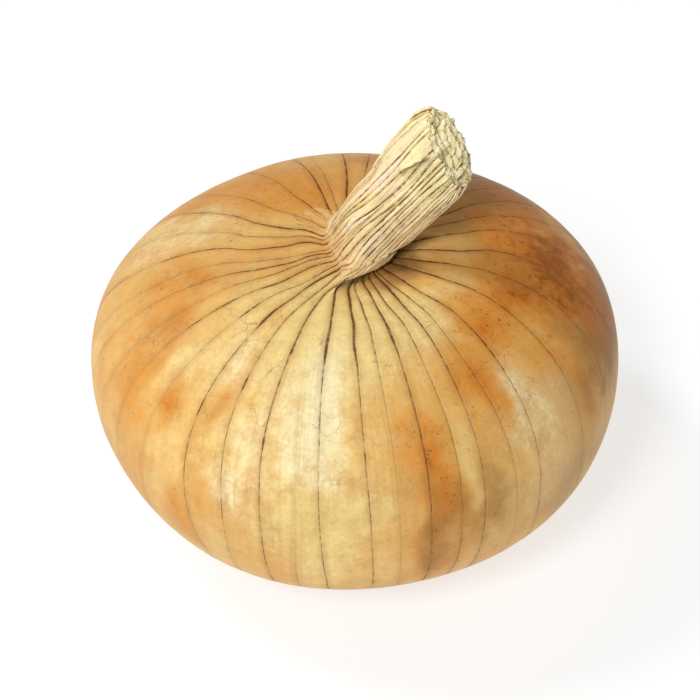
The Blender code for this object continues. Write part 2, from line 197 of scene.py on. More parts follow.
PIGMENTS = ("amber", "straw", "cream", "rust", "olive_and_painted_shade", "pink")
NECK_START = 97.0
STRAIGHT = 27.0  # level units along the neck

COLUMNS = 15  # in each gap between two veins
ROWS_UNDER, ROWS_OVER, ROWS_FILLET, ROWS_FOOT, ROWS_NECK = 60, 92, 12, 12, 168
FOOT_SHARE = 0.09  # of the neck that is one piece with the bulb's skin


# ---- small helpers ---------------------------------------------------------------
def unit(v):
    v = np.asarray(v, float)
    return v / np.linalg.norm(v)


AXIS = unit(NECK_AXIS)
BROAD = unit(np.asarray(NECK_BROAD) - AXIS * np.dot(NECK_BROAD, AXIS))
FACING = np.cross(AXIS, BROAD)
UP_LEFT = np.array([-0.77, 0.0, 0.64])


def smooth(x):
    x = np.clip(x, 0, 1)
    return x * x * (3 - 2 * x)


def lattice(x, y, z, seed):
    n = x * 374761393 + y * 668265263 + z * 1274126177 + seed * 974711
    n = (n ^ (n >> 13)) * 1103515245
    n = (n ^ (n >> 15)) * 668265263
    n = n ^ (n >> 16)
    return (n & 0xFFFF) / 32767.5 - 1


def noise(points, size, seed=0, octaves=1, rough=0.5):
    """Smooth noise from -1 to 1 whose lumps are about size across."""
    total, weight, share = 0.0, 0.0, 1.0
    p = np.asarray(points, float) / size
    for octave in range(octaves):
        cell = np.floor(p).astype(np.int64)
        f = p - cell
        u = f * f * f * (f * (f * 6 - 15) + 10)
        value = 0.0
        for dx in (0, 1):
            wx = u[..., 0] if dx else 1 - u[..., 0]
            for dy in (0, 1):
                wy = u[..., 1] if dy else 1 - u[..., 1]
                for dz in (0, 1):
                    wz = u[..., 2] if dz else 1 - u[..., 2]
                    value = value + wx * wy * wz * lattice(
                        cell[..., 0] + dx, cell[..., 1] + dy, cell[..., 2] + dz, seed + 31 * octave
                    )
        total = total + share * value
        weight += share
        share *= rough
        p = p * 2.03 + 17.3
    return total / weight


# ---- the solid's surface ------------------------------------------------------------
def swelling(azimuth):
    return 1 + sum(c * np.cos(n * azimuth) + s * np.sin(n * azimuth) for n, c, s in SWELLINGS)


def side(angle):
    s, c = np.sin(angle), np.abs(np.cos(angle))
    upper = smooth((s + 0.6) / 1.2)
    half = BOTTOM_HALF + (TOP_HALF - BOTTOM_HALF) * upper
    p = BOTTOM_FULLNESS + (TOP_FULLNESS - BOTTOM_FULLNESS) * upper
    out = ((c / BULB_RADIUS) ** p + (np.abs(s) / half) ** p) ** (-1 / p)
    r, z = out * c, out * s
    return r, z - np.where(z > 0, DIMPLE_DEPTH * np.exp(-((r / DIMPLE_RADIUS) ** 2)), 0)


ANGLES = np.linspace(-math.pi / 2, math.pi / 2, 4001)
SIDE_R, SIDE_Z = side(ANGLES)
WIDEST = int(np.argmax(SIDE_R))


def crown(r):
    return np.interp(r, SIDE_R[WIDEST:][::-1], SIDE_Z[WIDEST:][::-1])


def underside(r):
    z = np.interp(r, SIDE_R[: WIDEST + 1], SIDE_Z[: WIDEST + 1])
    return z + GROOVE_DEPTH * np.exp(-(((r - GROOVE_RADIUS) / GROOVE_WIDTH) ** 2))


def crown_at(x, y):
    z = np.full_like(x, TOP_HALF - DIMPLE_DEPTH)
    for _ in range(4):
        along = x - LEAN_X * z
        z = crown(np.hypot(along, y) / swelling(np.arctan2(y, along)))
    return z


def on_bulb(r, azimuth, height):
    out = r * swelling(azimuth)
    return np.stack([out * np.cos(azimuth) + LEAN_X * height, out * np.sin(azimuth), height + 0 * azimuth], -1)


NECK_ROOT = np.array([NECK_AT[0], NECK_AT[1], crown_at(np.array([NECK_AT[0]]), np.array([NECK_AT[1]]))[0]])


def foot_outline(azimuth):
    pts = np.array(FOOT)
    n = len(pts)
    run = np.concatenate([[0], np.cumsum(np.hypot(*(np.roll(pts, -1, 0) - pts).T))])
    corner = run[FOOT_CORNER]
    marks = np.where(
        np.arange(n + 1) <= FOOT_CORNER,
        FOOT_FROM + (FOOT_TO - FOOT_FROM) * run / corner,
        FOOT_TO + (FOOT_FROM + 360 - FOOT_TO) * (run - corner) / (run[n] - corner),
    )
    t = (np.degrees(azimuth) - FOOT_FROM) % 360 + FOOT_FROM
    i = np.clip(np.searchsorted(marks, t, side="right") - 1, 0, n - 1)
    f = ((t - marks[i]) / (marks[i + 1] - marks[i]))[:, None]
    a, b, c, d = pts[(i - 1) % n], pts[i], pts[(i + 1) % n], pts[(i + 2) % n]
    return 0.5 * (2 * b + (c - a) * f + (2 * a - 5 * b + 4 * c - d) * f * f + (3 * b - a - 3 * c + d) * f**3)


def neck_section(turn, h):
    c, s = np.cos(turn), np.sin(turn)
    left = HALF_WIDTH_LEFT[0] + (HALF_WIDTH_LEFT[1] - HALF_WIDTH_LEFT[0]) * smooth(h / 27)
    right = HALF_WIDTH_RIGHT[0] + (HALF_WIDTH_RIGHT[1] - HALF_WIDTH_RIGHT[0]) * np.clip((h - 14) / 12, 0, 1) ** 2
    thick = HALF_THICKNESS[0] + (HALF_THICKNESS[1] - HALF_THICKNESS[0]) * np.clip((h - 18) / 8, 0, 1) ** 2
    x = (left + right) / 2 * np.sign(c) * np.abs(c) ** (2 / NECK_FULLNESS) + (left - right) / 2
    y = thick * np.sign(s) * np.abs(s) ** (2 / NECK_FULLNESS)
    return NECK_ROOT + h[:, None] * AXIS + x[:, None] * BROAD + y[:, None] * FACING


def hump(azimuth, at, width):
    off = np.angle(np.exp(1j * (azimuth - math.radians(at)))) / math.radians(width)
    return np.exp(-(off**2))


def neck_skin(turn, foot, foot_h, h):
    azimuth = np.arctan2(foot[:, 1], foot[:, 0])
    up = h - foot_h
    face = FACE_SWELL * hump(azimuth, 185, 50) * (up / 3) * np.exp(1 - up / 3)
    fold = FOLD_SWELL * hump(azimuth, 305, 38) * (up / 1.8) * np.exp(1 - up / 1.8)
    outward = np.stack([np.cos(azimuth), np.sin(azimuth), 0.25 + 0 * azimuth], -1)
    rising = foot + up[:, None] * AXIS + face[:, None] * UP_LEFT + fold[:, None] * outward
    w = smooth(up / FOOT_HEIGHT)[:, None]
    return rising * (1 - w) + neck_section(turn, h) * w


class Meridian:
    """All that a ring needs at its own azimuths: the foot's outline, the fillet and the last level of the crown."""

    def __init__(self, azimuth):
        self.azimuth = azimuth
        self.turn = azimuth - TURN
        plan = foot_outline(azimuth)
        self.foot = np.column_stack([plan, crown_at(plan[:, 0], plan[:, 1])])
        self.foot_h = (self.foot - NECK_ROOT) @ AXIS
        along = self.foot[:, 0] - LEAN_X * self.foot[:, 2]
        foot_azimuth = np.arctan2(self.foot[:, 1], along)
        self.foot_r = np.hypot(along, self.foot[:, 1]) / swelling(foot_azimuth)
        self.drift = np.angle(np.exp(1j * (foot_azimuth - azimuth)))
        corner = np.angle(np.exp(1j * (self.turn - math.radians(160)))) / math.radians(28)
        self.fillet = FILLET + FILLET_CORNER * np.exp(-(corner**2))
        self.last = np.interp(-(self.foot_r + self.fillet), -SIDE_R[WIDEST:], ANGLES[WIDEST:])

    def under(self, share):
        start = np.interp(GROOVE_RADIUS, SIDE_R[: WIDEST + 1], ANGLES[: WIDEST + 1])
        angle = start + (ANGLES[WIDEST] - start) * share
        r = float(np.interp(angle, ANGLES, SIDE_R))
        return on_bulb(r, self.azimuth, underside(r))

    def over(self, share):
        angle = ANGLES[WIDEST] + (self.last - ANGLES[WIDEST]) * share**0.9
        r = np.interp(angle, ANGLES, SIDE_R)
        w = 1 - smooth((r - self.foot_r) / (20 - self.foot_r))
        return on_bulb(r, self.azimuth + self.drift * w, crown(r))

    def crease(self, share):
        below = self.over(1.0)
        above = neck_skin(self.turn, self.foot, self.foot_h, self.foot_h + self.fillet * 1.1)
        return (1 - share) ** 2 * below + 2 * share * (1 - share) * self.foot + share * share * above

    def cut(self):
        return NECK_LENGTH + CUT_SLANT * np.cos(self.turn) - CUT_TIP * np.sin(self.turn)

    def neck(self, share):
        h = (self.foot_h + self.fillet * 1.1) * (1 - share) + self.cut() * share
        return neck_skin(self.turn, self.foot, self.foot_h, h)


# ---- the grid of the skin, from root plate to cut ------------------------------------
ROWS = (
    [("under", u) for u in np.linspace(0, 1, ROWS_UNDER)]
    + [("over", u) for u in np.linspace(0, 1, ROWS_OVER + 1)[1:]]
    + [("crease", u) for u in np.linspace(0, 1, ROWS_FILLET + 1)[1:]]
    + [("neck", u) for u in np.linspace(0, FOOT_SHARE, ROWS_FOOT + 1)[1:]]
    + [("neck", u) for u in np.linspace(FOOT_SHARE, 1, ROWS_NECK + 1)[1:]]
)
SPLIT = ROWS_UNDER + ROWS_OVER + ROWS_FILLET + ROWS_FOOT - 1
VEIN_AZIMUTH = np.array([v[:8] for v in VEINS])
VEIN_DARK = np.array([v[8:] for v in VEINS])
GAPS = len(VEINS)


def vein_azimuths(level):
    """Azimuth of every vein at a level, in degrees, with the first one again a turn further on."""
    level = np.clip(level, LEVELS[0], LEVELS[-1])
    k = int(np.clip(np.searchsorted(LEVELS, level, side="right") - 1, 0, len(LEVELS) - 2))
    f = (level - LEVELS[k]) / (LEVELS[k + 1] - LEVELS[k])
    a = VEIN_AZIMUTH
    slope = (a[:, np.minimum(np.arange(8) + 1, 7)] - a[:, np.maximum(np.arange(8) - 1, 0)]) / np.maximum(
        np.array(LEVELS)[np.minimum(np.arange(8) + 1, 7)] - np.array(LEVELS)[np.maximum(np.arange(8) - 1, 0)], 1
    )
    span = LEVELS[k + 1] - LEVELS[k]
    h00, h10 = 2 * f**3 - 3 * f**2 + 1, f**3 - 2 * f**2 + f
    h01, h11 = -2 * f**3 + 3 * f**2, f**3 - f**2
    at = h00 * a[:, k] + h10 * span * slope[:, k] + h01 * a[:, k + 1] + h11 * span * slope[:, k + 1]
    return np.append(at, at[0] + 360)


def column_azimuths(level, radius):
    """Azimuth in radians of each column at a level.  Columns crowd near the veins where the gaps are wide."""
    at = vein_azimuths(level)
    fixed = np.array([0, 0.11, 0.25, 0.45, 0.8])
    out = []
    for k in range(GAPS):
        gap = math.radians(at[k + 1] - at[k]) * radius
        even = np.arange(COLUMNS) / COLUMNS
        inner = np.linspace(0.8, max(gap - 0.8, 0.81), COLUMNS - 7)[1:-1]
        near = np.concatenate([fixed, inner, (gap - fixed[:0:-1])]) / gap
        w = float(smooth(np.array((gap - 2.2) / 2.0)))
        out.append(at[k] + (at[k + 1] - at[k]) * ((1 - w) * even + w * near))
    own = np.concatenate(out)
    plain = 96 + 360 * np.arange(GAPS * COLUMNS) / (GAPS * COLUMNS)
    w = float(smooth(np.array((level - 96) / 9.0)))
    return np.radians(own * (1 - w) + plain * w)


def nominal_levels():
    """Level and radius of each row on an average meridian."""
    meridian = Meridian(np.radians(np.arange(0, 360, 10.0)))
    rings = np.array([getattr(meridian, kind)(share) for kind, share in ROWS])
    step = np.linalg.norm(np.diff(rings, axis=0), axis=2).mean(1)
    level = np.concatenate([[0], np.cumsum(step)])
    radius = np.linalg.norm(rings[:, :, :2] - rings[:, :, :2].mean(1, keepdims=True), axis=2).mean(1)
    return level, radius


def make_grid():
    level, radius = nominal_levels()
    foot_row = ROWS_UNDER + ROWS_OVER + ROWS_FILLET // 2
    # The foot is at NECK_START and the cut at NECK_START + STRAIGHT.
    rows = np.arange(len(ROWS))
    lower = level / level[foot_row] * NECK_START
    upper = NECK_START + (level - level[foot_row]) / (level[-1] - level[foot_row]) * STRAIGHT
    level = np.where(rows <= foot_row, lower, upper)
    points, azimuths = [], []
    for (kind, share), s, r in zip(ROWS, level, radius):
        azimuth = column_azimuths(s, r)
        meridian = Meridian(azimuth)
        points.append(getattr(meridian, kind)(share))
        azimuths.append(azimuth)
    return np.array(points), np.array(azimuths), level


def grid_normals(points):
    around = np.roll(points, -1, 1) - np.roll(points, 1, 1)
    upward = np.empty_like(points)
    upward[1:-1] = points[2:] - points[:-2]
    upward[0], upward[-1] = points[1] - points[0], points[-1] - points[-2]
    n = np.cross(around, upward)
    return n / np.maximum(np.linalg.norm(n, axis=2, keepdims=True), 1e-12)


def curve(knots, values):
    """A smooth curve through values at knots."""
    x, y = np.asarray(knots, float), np.asarray(values, float)
    slope = np.gradient(y, x)

    def at(t):
        t = float(np.clip(t, x[0], x[-1]))
        k = int(np.clip(np.searchsorted(x, t, side="right") - 1, 0, len(x) - 2))
        span = x[k + 1] - x[k]
        f = (t - x[k]) / span
        return (
            (2 * f**3 - 3 * f**2 + 1) * y[k] + (f**3 - 2 * f**2 + f) * span * slope[k]
            + (3 * f**2 - 2 * f**3) * y[k + 1] + (f**3 - f**2) * span * slope[k + 1]
        )

    return at


PLEAT_PATHS = [curve(SHARES, p[:7]) for p in PLEATS]


def nearest_line(azimuths, level, metric):
    """Distance in mm to the nearest vein or pleat, how strong it is, and which it is."""
    rows, cols = azimuths.shape
    gap = np.empty((rows, cols))
    strength = np.empty((rows, cols))
    which = np.empty((rows, cols), int)
    strip = np.empty((rows, cols), int)
    pleats = np.array(PLEATS)
    for i in range(rows):
        s = level[i]
        if s <= NECK_START:
            at = vein_azimuths(s)[:-1]
            dark = np.array([np.interp(s, (40, 62, 82), v[::-1]) for v in VEIN_DARK])
        else:
            t = (s - NECK_START) / STRAIGHT
            at = np.array([PLEAT_PATHS[j](t) for j in range(len(pleats))])
            at = at + 0.7 * np.sin(9.3 * t + np.arange(len(pleats)) * 2.1) * smooth(t * 3)
            dark = pleats[:, 7] * smooth((t - pleats[:, 8]) / 0.08) * smooth((pleats[:, 9] - t) / 0.10)
        off = azimuths[i][:, None] - np.radians(at)[None]
        signed = ((off + math.pi) % (2 * math.pi) - math.pi) * metric[i][:, None]
        off = np.abs(signed)
        # A faint line counts only if it is much nearer than a strong one.
        score = off + 2.0 * (dark < 0.06)[None]
        k = np.argmin(score, axis=1)
        gap[i] = off[np.arange(cols), k]
        strength[i] = dark[k]
        which[i] = k
        ahead = signed[np.arange(cols), k] > 0
        strip[i] = (k + ahead) % len(at)
    return gap, strength, which, strip


def stain_masks(azimuths, level, points):
    """How much of each pigment there is at each vertex."""
    masks = {name: np.zeros(azimuths.shape) for name in PIGMENTS}
    wander = noise(points, 7.0, 5, 3) * 1.0
    drift = noise(points, 6.0, 9, 3) * 1.0
    degrees = np.degrees(azimuths)
    s = np.broadcast_to(level[:, None], azimuths.shape)
    for pigment, at, height, wide, tall, amount in STAINS:
        off = (degrees - at + 180) % 360 - 180
        a = (off + wander * (2.0 + 0.45 * wide)) / wide
        b = (s - height + drift * (1.2 + 0.45 * tall)) / tall
        m = amount * np.exp(-((a * a + b * b) ** 1.25))
        masks[pigment] = 1 - (1 - masks[pigment]) * (1 - m)
    return masks


BASE, AZIMUTH, LEVEL = make_grid()
BASE_NORMAL = grid_normals(BASE)
AROUND = AZIMUTH.shape[1]
step = np.linalg.norm(np.roll(BASE, -1, 1) - np.roll(BASE, 1, 1), axis=2)
turn_step = (np.roll(AZIMUTH, -1, 1) - np.roll(AZIMUTH, 1, 1) + math.pi) % (2 * math.pi) - math.pi
METRIC = step / np.maximum(np.abs(turn_step), 1e-9)
GAP, STRONG, WHICH, STRIP = nearest_line(AZIMUTH, LEVEL, METRIC)
MASKS = stain_masks(AZIMUTH, LEVEL, BASE)
S = np.broadcast_to(LEVEL[:, None], AZIMUTH.shape)
T = (S - NECK_START) / STRAIGHT  # 0 at the neck's foot, 1 at the cut
PHI = 2 * math.pi * np.broadcast_to(np.arange(AROUND) / AROUND, AZIMUTH.shape)
GRAIN = np.stack([np.cos(PHI) * 45, np.sin(PHI) * 45, S], -1)

# Each vein comes and goes along its length.
along_vein = np.stack([WHICH * 7.31, S / 3.2, 0 * S], -1)
COMES = 0.5 + 0.5 * noise(along_vein, 1.0, 21, 2)
on_neck = smooth(T / 0.05)
SWELL = np.clip(0.5 + 1.1 * noise(np.stack([WHICH * 3.71 + 9.3, S / 3.8, 0.7 + 0 * S], -1), 1.0, 23, 2), 0, 1.3)
near = smooth((S - 76) / 16)
DARK = STRONG * np.where(T > 0, 1.0, np.clip(0.45 + 0.75 * COMES + 0.5 * near, 0, 1.1))
for vein, at, half, much in DASHES:
    thick = much * np.exp(-(((S - at) / half) ** 4)) * (WHICH == vein) * (T <= 0)
    SWELL = np.maximum(SWELL, 1.5 * thick)
    DARK = np.maximum(DARK, 1.1 * thick)
DEGREES = np.degrees(AZIMUTH) % 360


def about(at, width):
    """1 at an azimuth in degrees, falling off over width."""
    off = (DEGREES - at + 180) % 360 - 180
    return np.exp(-((off / width) ** 2))


def between(low, high, soft):
    """1 between two azimuths in degrees, with soft ends."""
    off = (DEGREES - low + 90) % 360 - 90
    return smooth(off / soft) * smooth((high - low - off) / soft)


# ---- the fold in front and the crease at the left -----------------------------------
foot_row = int(np.argmin(np.abs(LEVEL - NECK_START)))
foot_line = BASE[foot_row]
foot_along = np.roll(foot_line, -3, 0) - np.roll(foot_line, 3, 0)
foot_out = np.stack([foot_along[:, 1], -foot_along[:, 0], 0 * foot_along[:, 0]], -1)
foot_out /= np.linalg.norm(foot_out, axis=1, keepdims=True)
LIP = between(250, 322, 8) * (0.4 + 0.6 * between(250, 306, 12))
CREASE = between(146, 243, 9)
tuck = -0.85 * LIP * np.exp(-(((S - 96.1) / 0.75) ** 2)) + 0.48 * LIP * np.exp(-(((S - 97.7) / 0.55) ** 2))
drop = -0.35 * LIP * np.exp(-(((S - 96.6) / 0.6) ** 2)) - 0.25 * LIP * np.exp(-(((S - 97.6) / 0.5) ** 2))
shaped = BASE + tuck[:, :, None] * foot_out[None] + drop[:, :, None] * np.array([0, 0, 1.0])
BASE_NORMAL = grid_normals(shaped)

# ---- relief of the skin -------------------------------------------------------------
relief = 0.22 * noise(BASE, 19.0, 3, 2) * smooth((S - 4) / 20) * (1 - smooth((S - 84) / 10))
relief = relief + 0.035 * noise(BASE, 4.5, 4, 2) * (1 - on_neck)
# Between two veins the skin bows out a little, more so where it is pleated near the neck.
bow = np.exp(-((GAP / 0.9) ** 2))
relief = relief - (0.03 + 0.13 * smooth((S - 78) / 17)) * bow * np.clip(STRONG, 0, 1) * (1 - on_neck)
crack = np.exp(-((GAP / 0.24) ** 2))
relief = relief - (0.035 + 0.15 * smooth((S - 80) / 16)) * crack * DARK * (1 - on_neck)
# The skin is drawn into fine puckers round the root plate.
pucker = noise(np.stack([np.cos(AZIMUTH) * 26, np.sin(AZIMUTH) * 26, S * 0.12], -1), 1.0, 12, 2)
relief = relief + 0.16 * pucker * (1 - smooth((S - 2) / 12))
# Dried neck: narrow pleats, each strip between two of them a little higher or lower, and fine fibre.
deep = (0.24 + 0.10 * noise(np.stack([WHICH * 5.17, T * 5, 0 * T], -1), 1.0, 8, 2)) * STRONG
valley = np.exp(-((GAP / 0.13) ** 2)) * 0.8 + np.exp(-((GAP / 0.38) ** 2)) * 0.5
relief = relief - on_neck * deep * valley
own = noise(np.stack([STRIP * 3.37 + 0.5, T * 3.1, 0.3 + 0 * T], -1), 1.0, 11, 2)
panel = noise(np.stack([STRIP * 3.37 + 0.5, S / 15.0, 7.3 + 0 * T], -1), 1.0, 13, 2)
STRIP_TINT = np.where(T > 0, own * on_neck, panel)
relief = relief + on_neck * 0.13 * own * np.clip(STRONG * 1.3, 0, 1)
fibre = noise(np.stack([np.cos(AZIMUTH) * 21, np.sin(AZIMUTH) * 21, T * 3.4], -1), 1.0, 14, 3, 0.6)
relief = relief + on_neck * 0.075 * fibre
crumple = noise(BASE, 1.4, 17, 3, 0.6) * smooth((T - 0.62) / 0.38) ** 1.5
relief = relief + on_neck * 0.24 * crumple
relief = relief + 0.85 * about(118, 38) * smooth((T - 0.50) / 0.22)
relief = relief - (0.12 + 0.5 * about(296, 60)) * smooth((T - 0.86) / 0.14) ** 1.6
relief = relief - 1.0 * about(112, 44) * np.clip((T - 0.90) / 0.10, 0, 1) ** 2
relief = relief + on_neck * 0.22 * noise(BASE, 5.0, 18, 2) * smooth(T / 0.2)
# A bent crease where the skin turns up into the neck at the left.
relief = relief + CREASE * (0.15 * np.exp(-(((S - 97.1) / 0.36) ** 2)) - 0.10 * np.exp(-(((S - 96.0) / 0.7) ** 2)))
# A peeled strip stands off the neck near the cut, its free edge running slantwise.
flap_edge = 185.5 + (T - 0.715) / 0.225 * 12.0 + 0.5 * np.sin(T * 70)
flap_run = np.clip((DEGREES - 170.5) / np.maximum(flap_edge - 170.5, 1.0), 0, 2)
flap_on = smooth((T - 0.712) / 0.05) * smooth((0.985 - T) / 0.06)
FLAP = np.where(flap_run <= 1.0, np.clip(flap_run, 0, 1) ** 1.6, 0.0) * flap_on
# FLAP_SHADE: the strip's shadow beside its free edge, a slight dip here and painted shade in the skin's colour
FLAP_SHADE = smooth((flap_run - 1.0) / 0.03) * np.exp(-np.clip(flap_run - 1.0, 0, 9) * 4.2) * flap_on
relief = relief + 0.95 * FLAP - 0.22 * FLAP_SHADE
# A broken outer layer on the neck's left edge leaves a notch.
ledge_at = 0.665 + 0.02 * np.sin(DEGREES * 0.5)
ledge = smooth((T - ledge_at) / 0.014) * about(143, 9) * smooth((0.93 - T) / 0.2)
relief = relief + 0.34 * ledge
ledge_low = smooth((T - 0.545) / 0.014) * about(136, 6) * smooth((0.68 - T) / 0.1)
relief = relief + 0.22 * ledge_low
# A torn collar of an older skin lies round the back left of the neck's foot.
frill = noise(np.stack([np.cos(AZIMUTH) * 15, np.sin(AZIMUTH) * 15, 0 * T], -1), 1.0, 71, 3, 0.65)
turned_in = (DEGREES - 113) / 20
collar_edge = NECK_START - 2.0 - 3.4 * smooth(turned_in) - 0.6 * frill
collar_on = between(108, 141, 4) * smooth((98.2 - S) / 0.7)
COLLAR = smooth((S - collar_edge) / 0.22) * collar_on
COLLAR_RIM = np.exp(-(((S - collar_edge - 0.15) / 0.28) ** 2)) * collar_on
wrinkle = noise(np.stack([np.cos(AZIMUTH) * 24, np.sin(AZIMUTH) * 24, S * 0.25], -1), 1.0, 72, 2)
relief = relief + 0.26 * COLLAR + 0.26 * wrinkle * np.maximum(COLLAR, 0.5 * between(118, 172, 12) * smooth((S - 90) / 3) * (1 - on_neck))
DARK = DARK * (1 - 0.7 * COLLAR)
CRINKLE = between(104, 236, 22) * smooth((S - 84) / 7) * (1 - on_neck)
SKIN = shaped + BASE_NORMAL * relief[:, :, None]
# The cut is ragged: each pleat ends a little higher or lower, and its upper left end is worn down.
ragged = noise(np.stack([np.cos(AZIMUTH) * 7, np.sin(AZIMUTH) * 7, 0 * T], -1), 1.0, 33, 3, 0.5)
worn = -1.2 * about(96, 50) - 0.1
SKIN = SKIN + ((0.75 * ragged + 0.5 * own + worn) * smooth((T - 0.82) / 0.18))[:, :, None] * AXIS
SKIN = SKIN + (0.25 * smooth((T - 0.90) / 0.10) * noise(BASE, 2.2, 35, 2))[:, :, None] * BASE_NORMAL
NORMAL = grid_normals(SKIN)


# ---- meshes ---------------------------------------------------------------------------
def add_piece(name, vertices, faces, normals=None, attributes=None, vectors=None, uv=None, smooth_faces=True):
    mesh = bpy.data.meshes.new(name)
    mesh.from_pydata((np.asarray(vertices) * MM).tolist(), [], [tuple(f) for f in faces])
    mesh.update()
    for key, values in (attributes or {}).items():
        mesh.attributes.new(key, "FLOAT", "POINT").data.foreach_set("value", np.asarray(values, np.float32).ravel())
    for key, values in (vectors or {}).items():
        mesh.attributes.new(key, "FLOAT_VECTOR", "POINT").data.foreach_set(
            "vector", np.asarray(values, np.float32).ravel()
        )
    if uv is not None:
        layer = mesh.uv_layers.new(name="OFBake")
        layer.data.foreach_set("uv", np.asarray(uv, np.float32).ravel())
    if smooth_faces:
        mesh.shade_smooth()
    if normals is not None:
        mesh.normals_split_custom_set_from_vertices(np.asarray(normals, float).tolist())
    obj = bpy.data.objects.new(name, mesh)
    bpy.context.scene.collection.objects.link(obj)
    return obj


def grid_faces(rows, cols):
    k = np.arange(cols)
    n = (k + 1) % cols
    base = (np.arange(rows - 1) * cols)[:, None]
    return np.stack([base + k, base + n, base + cols + n, base + cols + k], -1).reshape(-1, 4)


def strip_uv(rows, cols, height, strips, low=0.0, high=1.0):
    """A layout in strips one above another, each one a share of the way round, between two heights of the square."""
    per = cols / strips
    pad = 0.004
    k = np.arange(cols)
    strip = np.floor(k / per).astype(int)
    u0 = (k - strip * per) / per
    u1 = (k + 1 - strip * per) / per
    v = (height - height.min()) / (height.max() - height.min())
    band = (high - low) / strips
    out = np.empty((rows - 1, cols, 4, 2))
    squeeze = 1 - 2 * pad
    for corner, (du, dv) in enumerate(((0, 0), (1, 0), (1, 1), (0, 1))):
        u = np.where(du, u1, u0)[None, :] + 0 * v[:-1, None]
        vv = (v[1:] if dv else v[:-1])[:, None] + 0 * u
        out[:, :, corner, 0] = pad + squeeze * u
        out[:, :, corner, 1] = low + band * strip[None, :] + band * (0.02 + 0.96 * vv)
    return out


def skin_attributes(rows):
    values = {
        "gap": GAP[rows],
        "vein": DARK[rows],
        "level": S[rows],
        "neck": np.maximum(smooth(T[rows] / 0.10 + 0.35), 0.55 * COLLAR[rows]),
        "high": np.clip(T[rows], 0, 1),
        "strip": STRIP_TINT[rows],
        "swell": SWELL[rows],
        "crinkle": CRINKLE[rows],
        # painted highlight along the bent crease at the left, with the pale torn rim of the collar
        "fold": np.clip(CREASE[rows] * np.exp(-(((S[rows] - 97.1) / 0.35) ** 2)) + 0.4 * COLLAR_RIM[rows], 0, 1),
        # painted shadow under the front fold's lip and beside the peeled strip's free edge
        "painted_fold_flap_shadow": np.clip(
            LIP[rows] * np.exp(-(((S[rows] - 96.6) / 0.75) ** 2)) + 0.8 * FLAP_SHADE[rows], 0, 1
        ),
    }
    values.update({name: MASKS[name][rows] for name in PIGMENTS})
    return values


def skin_piece(rows):
    """The skin between two rows, ready for add_piece."""
    points = SKIN[rows] + CENTRE
    count = len(points)
    faces = grid_faces(count, AROUND).tolist()
    uv = strip_uv(count, AROUND, LEVEL[rows], 3, 0.0, 0.97)
    vertices = points.reshape(-1, 3)
    normals = NORMAL[rows].reshape(-1, 3)
    values = {k: v.ravel() for k, v in skin_attributes(rows).items()}
    grain = GRAIN[rows].reshape(-1, 3)
    uv = uv.reshape(-1, 2)
    return vertices, faces, normals, values, grain, uv


def bulb_object():
    rows = slice(0, SPLIT + 1)
    vertices, faces, normals, values, grain, uv = skin_piece(rows)
    # Close it over the root plate.
    ring = SKIN[0] + CENTRE
    middle = ring.mean(0) + np.array([0, 0, 0.25])
    vertices = np.concatenate([vertices, [middle]])
    normals = np.concatenate([normals, [[0, 0, -1]]])
    for key in values:
        values[key] = np.append(values[key], values[key][0])
    grain = np.concatenate([grain, [[0, 0, 0]]])
    hub = len(vertices) - 1
    k = np.arange(AROUND)
    n = (k + 1) % AROUND
    faces += [(int(a), hub, int(b)) for a, b in zip(n, k)]
    angle = 2 * math.pi * k / AROUND
    cap = np.empty((AROUND, 3, 2))
    cap[:, 0] = np.stack([0.985 + 0.010 * np.cos(angle + 2 * math.pi / AROUND), 0.985 + 0.010 * np.sin(angle + 2 * math.pi / AROUND)], -1)
    cap[:, 1] = (0.985, 0.985)
    cap[:, 2] = np.stack([0.985 + 0.010 * np.cos(angle), 0.985 + 0.010 * np.sin(angle)], -1)
    uv = np.concatenate([uv, cap.reshape(-1, 2)])
    return add_piece("bulb_skin", vertices, faces, normals, values, {"grain": grain}, uv)


RIM = SKIN[-1]
RIM_MIDDLE = RIM.mean(0)


def neck_object():
    rows = slice(SPLIT, len(ROWS))
    vertices, faces, normals, values, grain, uv = skin_piece(rows)
    count = len(vertices) // AROUND
    # The sheath's own thickness, turned in and running down inside.
    outward = RIM - RIM_MIDDLE
    outward = outward - (outward @ AXIS)[:, None] * AXIS
    outward /= np.linalg.norm(outward, axis=1, keepdims=True)
    wobble = 0.1 * noise(RIM, 0.9, 41, 2)[:, None]
    turned = (
        (RIM - outward * (0.22 + wobble) + AXIS * 0.04, 0),
        (RIM - outward * (0.5 + wobble) - AXIS * 0.15, 0),
        (RIM - outward * (0.62 + wobble) - AXIS * 1.0, 0),
        (RIM - outward * (0.7 + wobble) - AXIS * 2.6, 0),
    )
    v0 = 0.972
    for j, (ring, _) in enumerate(turned):
        vertices = np.concatenate([vertices, ring + CENTRE])
        for key in values:
            values[key] = np.concatenate([values[key], skin_attributes(slice(-1, None))[key].ravel()])
        grain = np.concatenate([grain, GRAIN[-1]])
        k = np.arange(AROUND)
        n = (k + 1) % AROUND
        new, old = len(vertices) - AROUND, len(vertices) - 2 * AROUND
        faces += np.stack([old + k, old + n, new + n, new + k], -1).tolist()
        uv_ring = np.empty((AROUND, 4, 2))
        lo, hi = v0 + 0.006 * j, v0 + 0.006 * (j + 1)
        for corner, (du, v) in enumerate(((0, lo), (1, lo), (1, hi), (0, hi))):
            uv_ring[:, corner, 0] = 0.004 + 0.992 * (k + du) / AROUND
            uv_ring[:, corner, 1] = v
        uv = np.concatenate([uv, uv_ring.reshape(-1, 2)])
    rings = np.concatenate([SKIN[-3:], np.array([r for r, _ in turned])])
    tail = grid_normals(rings)[3:]
    normals = np.concatenate([normals[: count * AROUND], tail.reshape(-1, 3)])
    return add_piece("dried_neck", vertices, faces, normals, values, {"grain": grain}, uv)


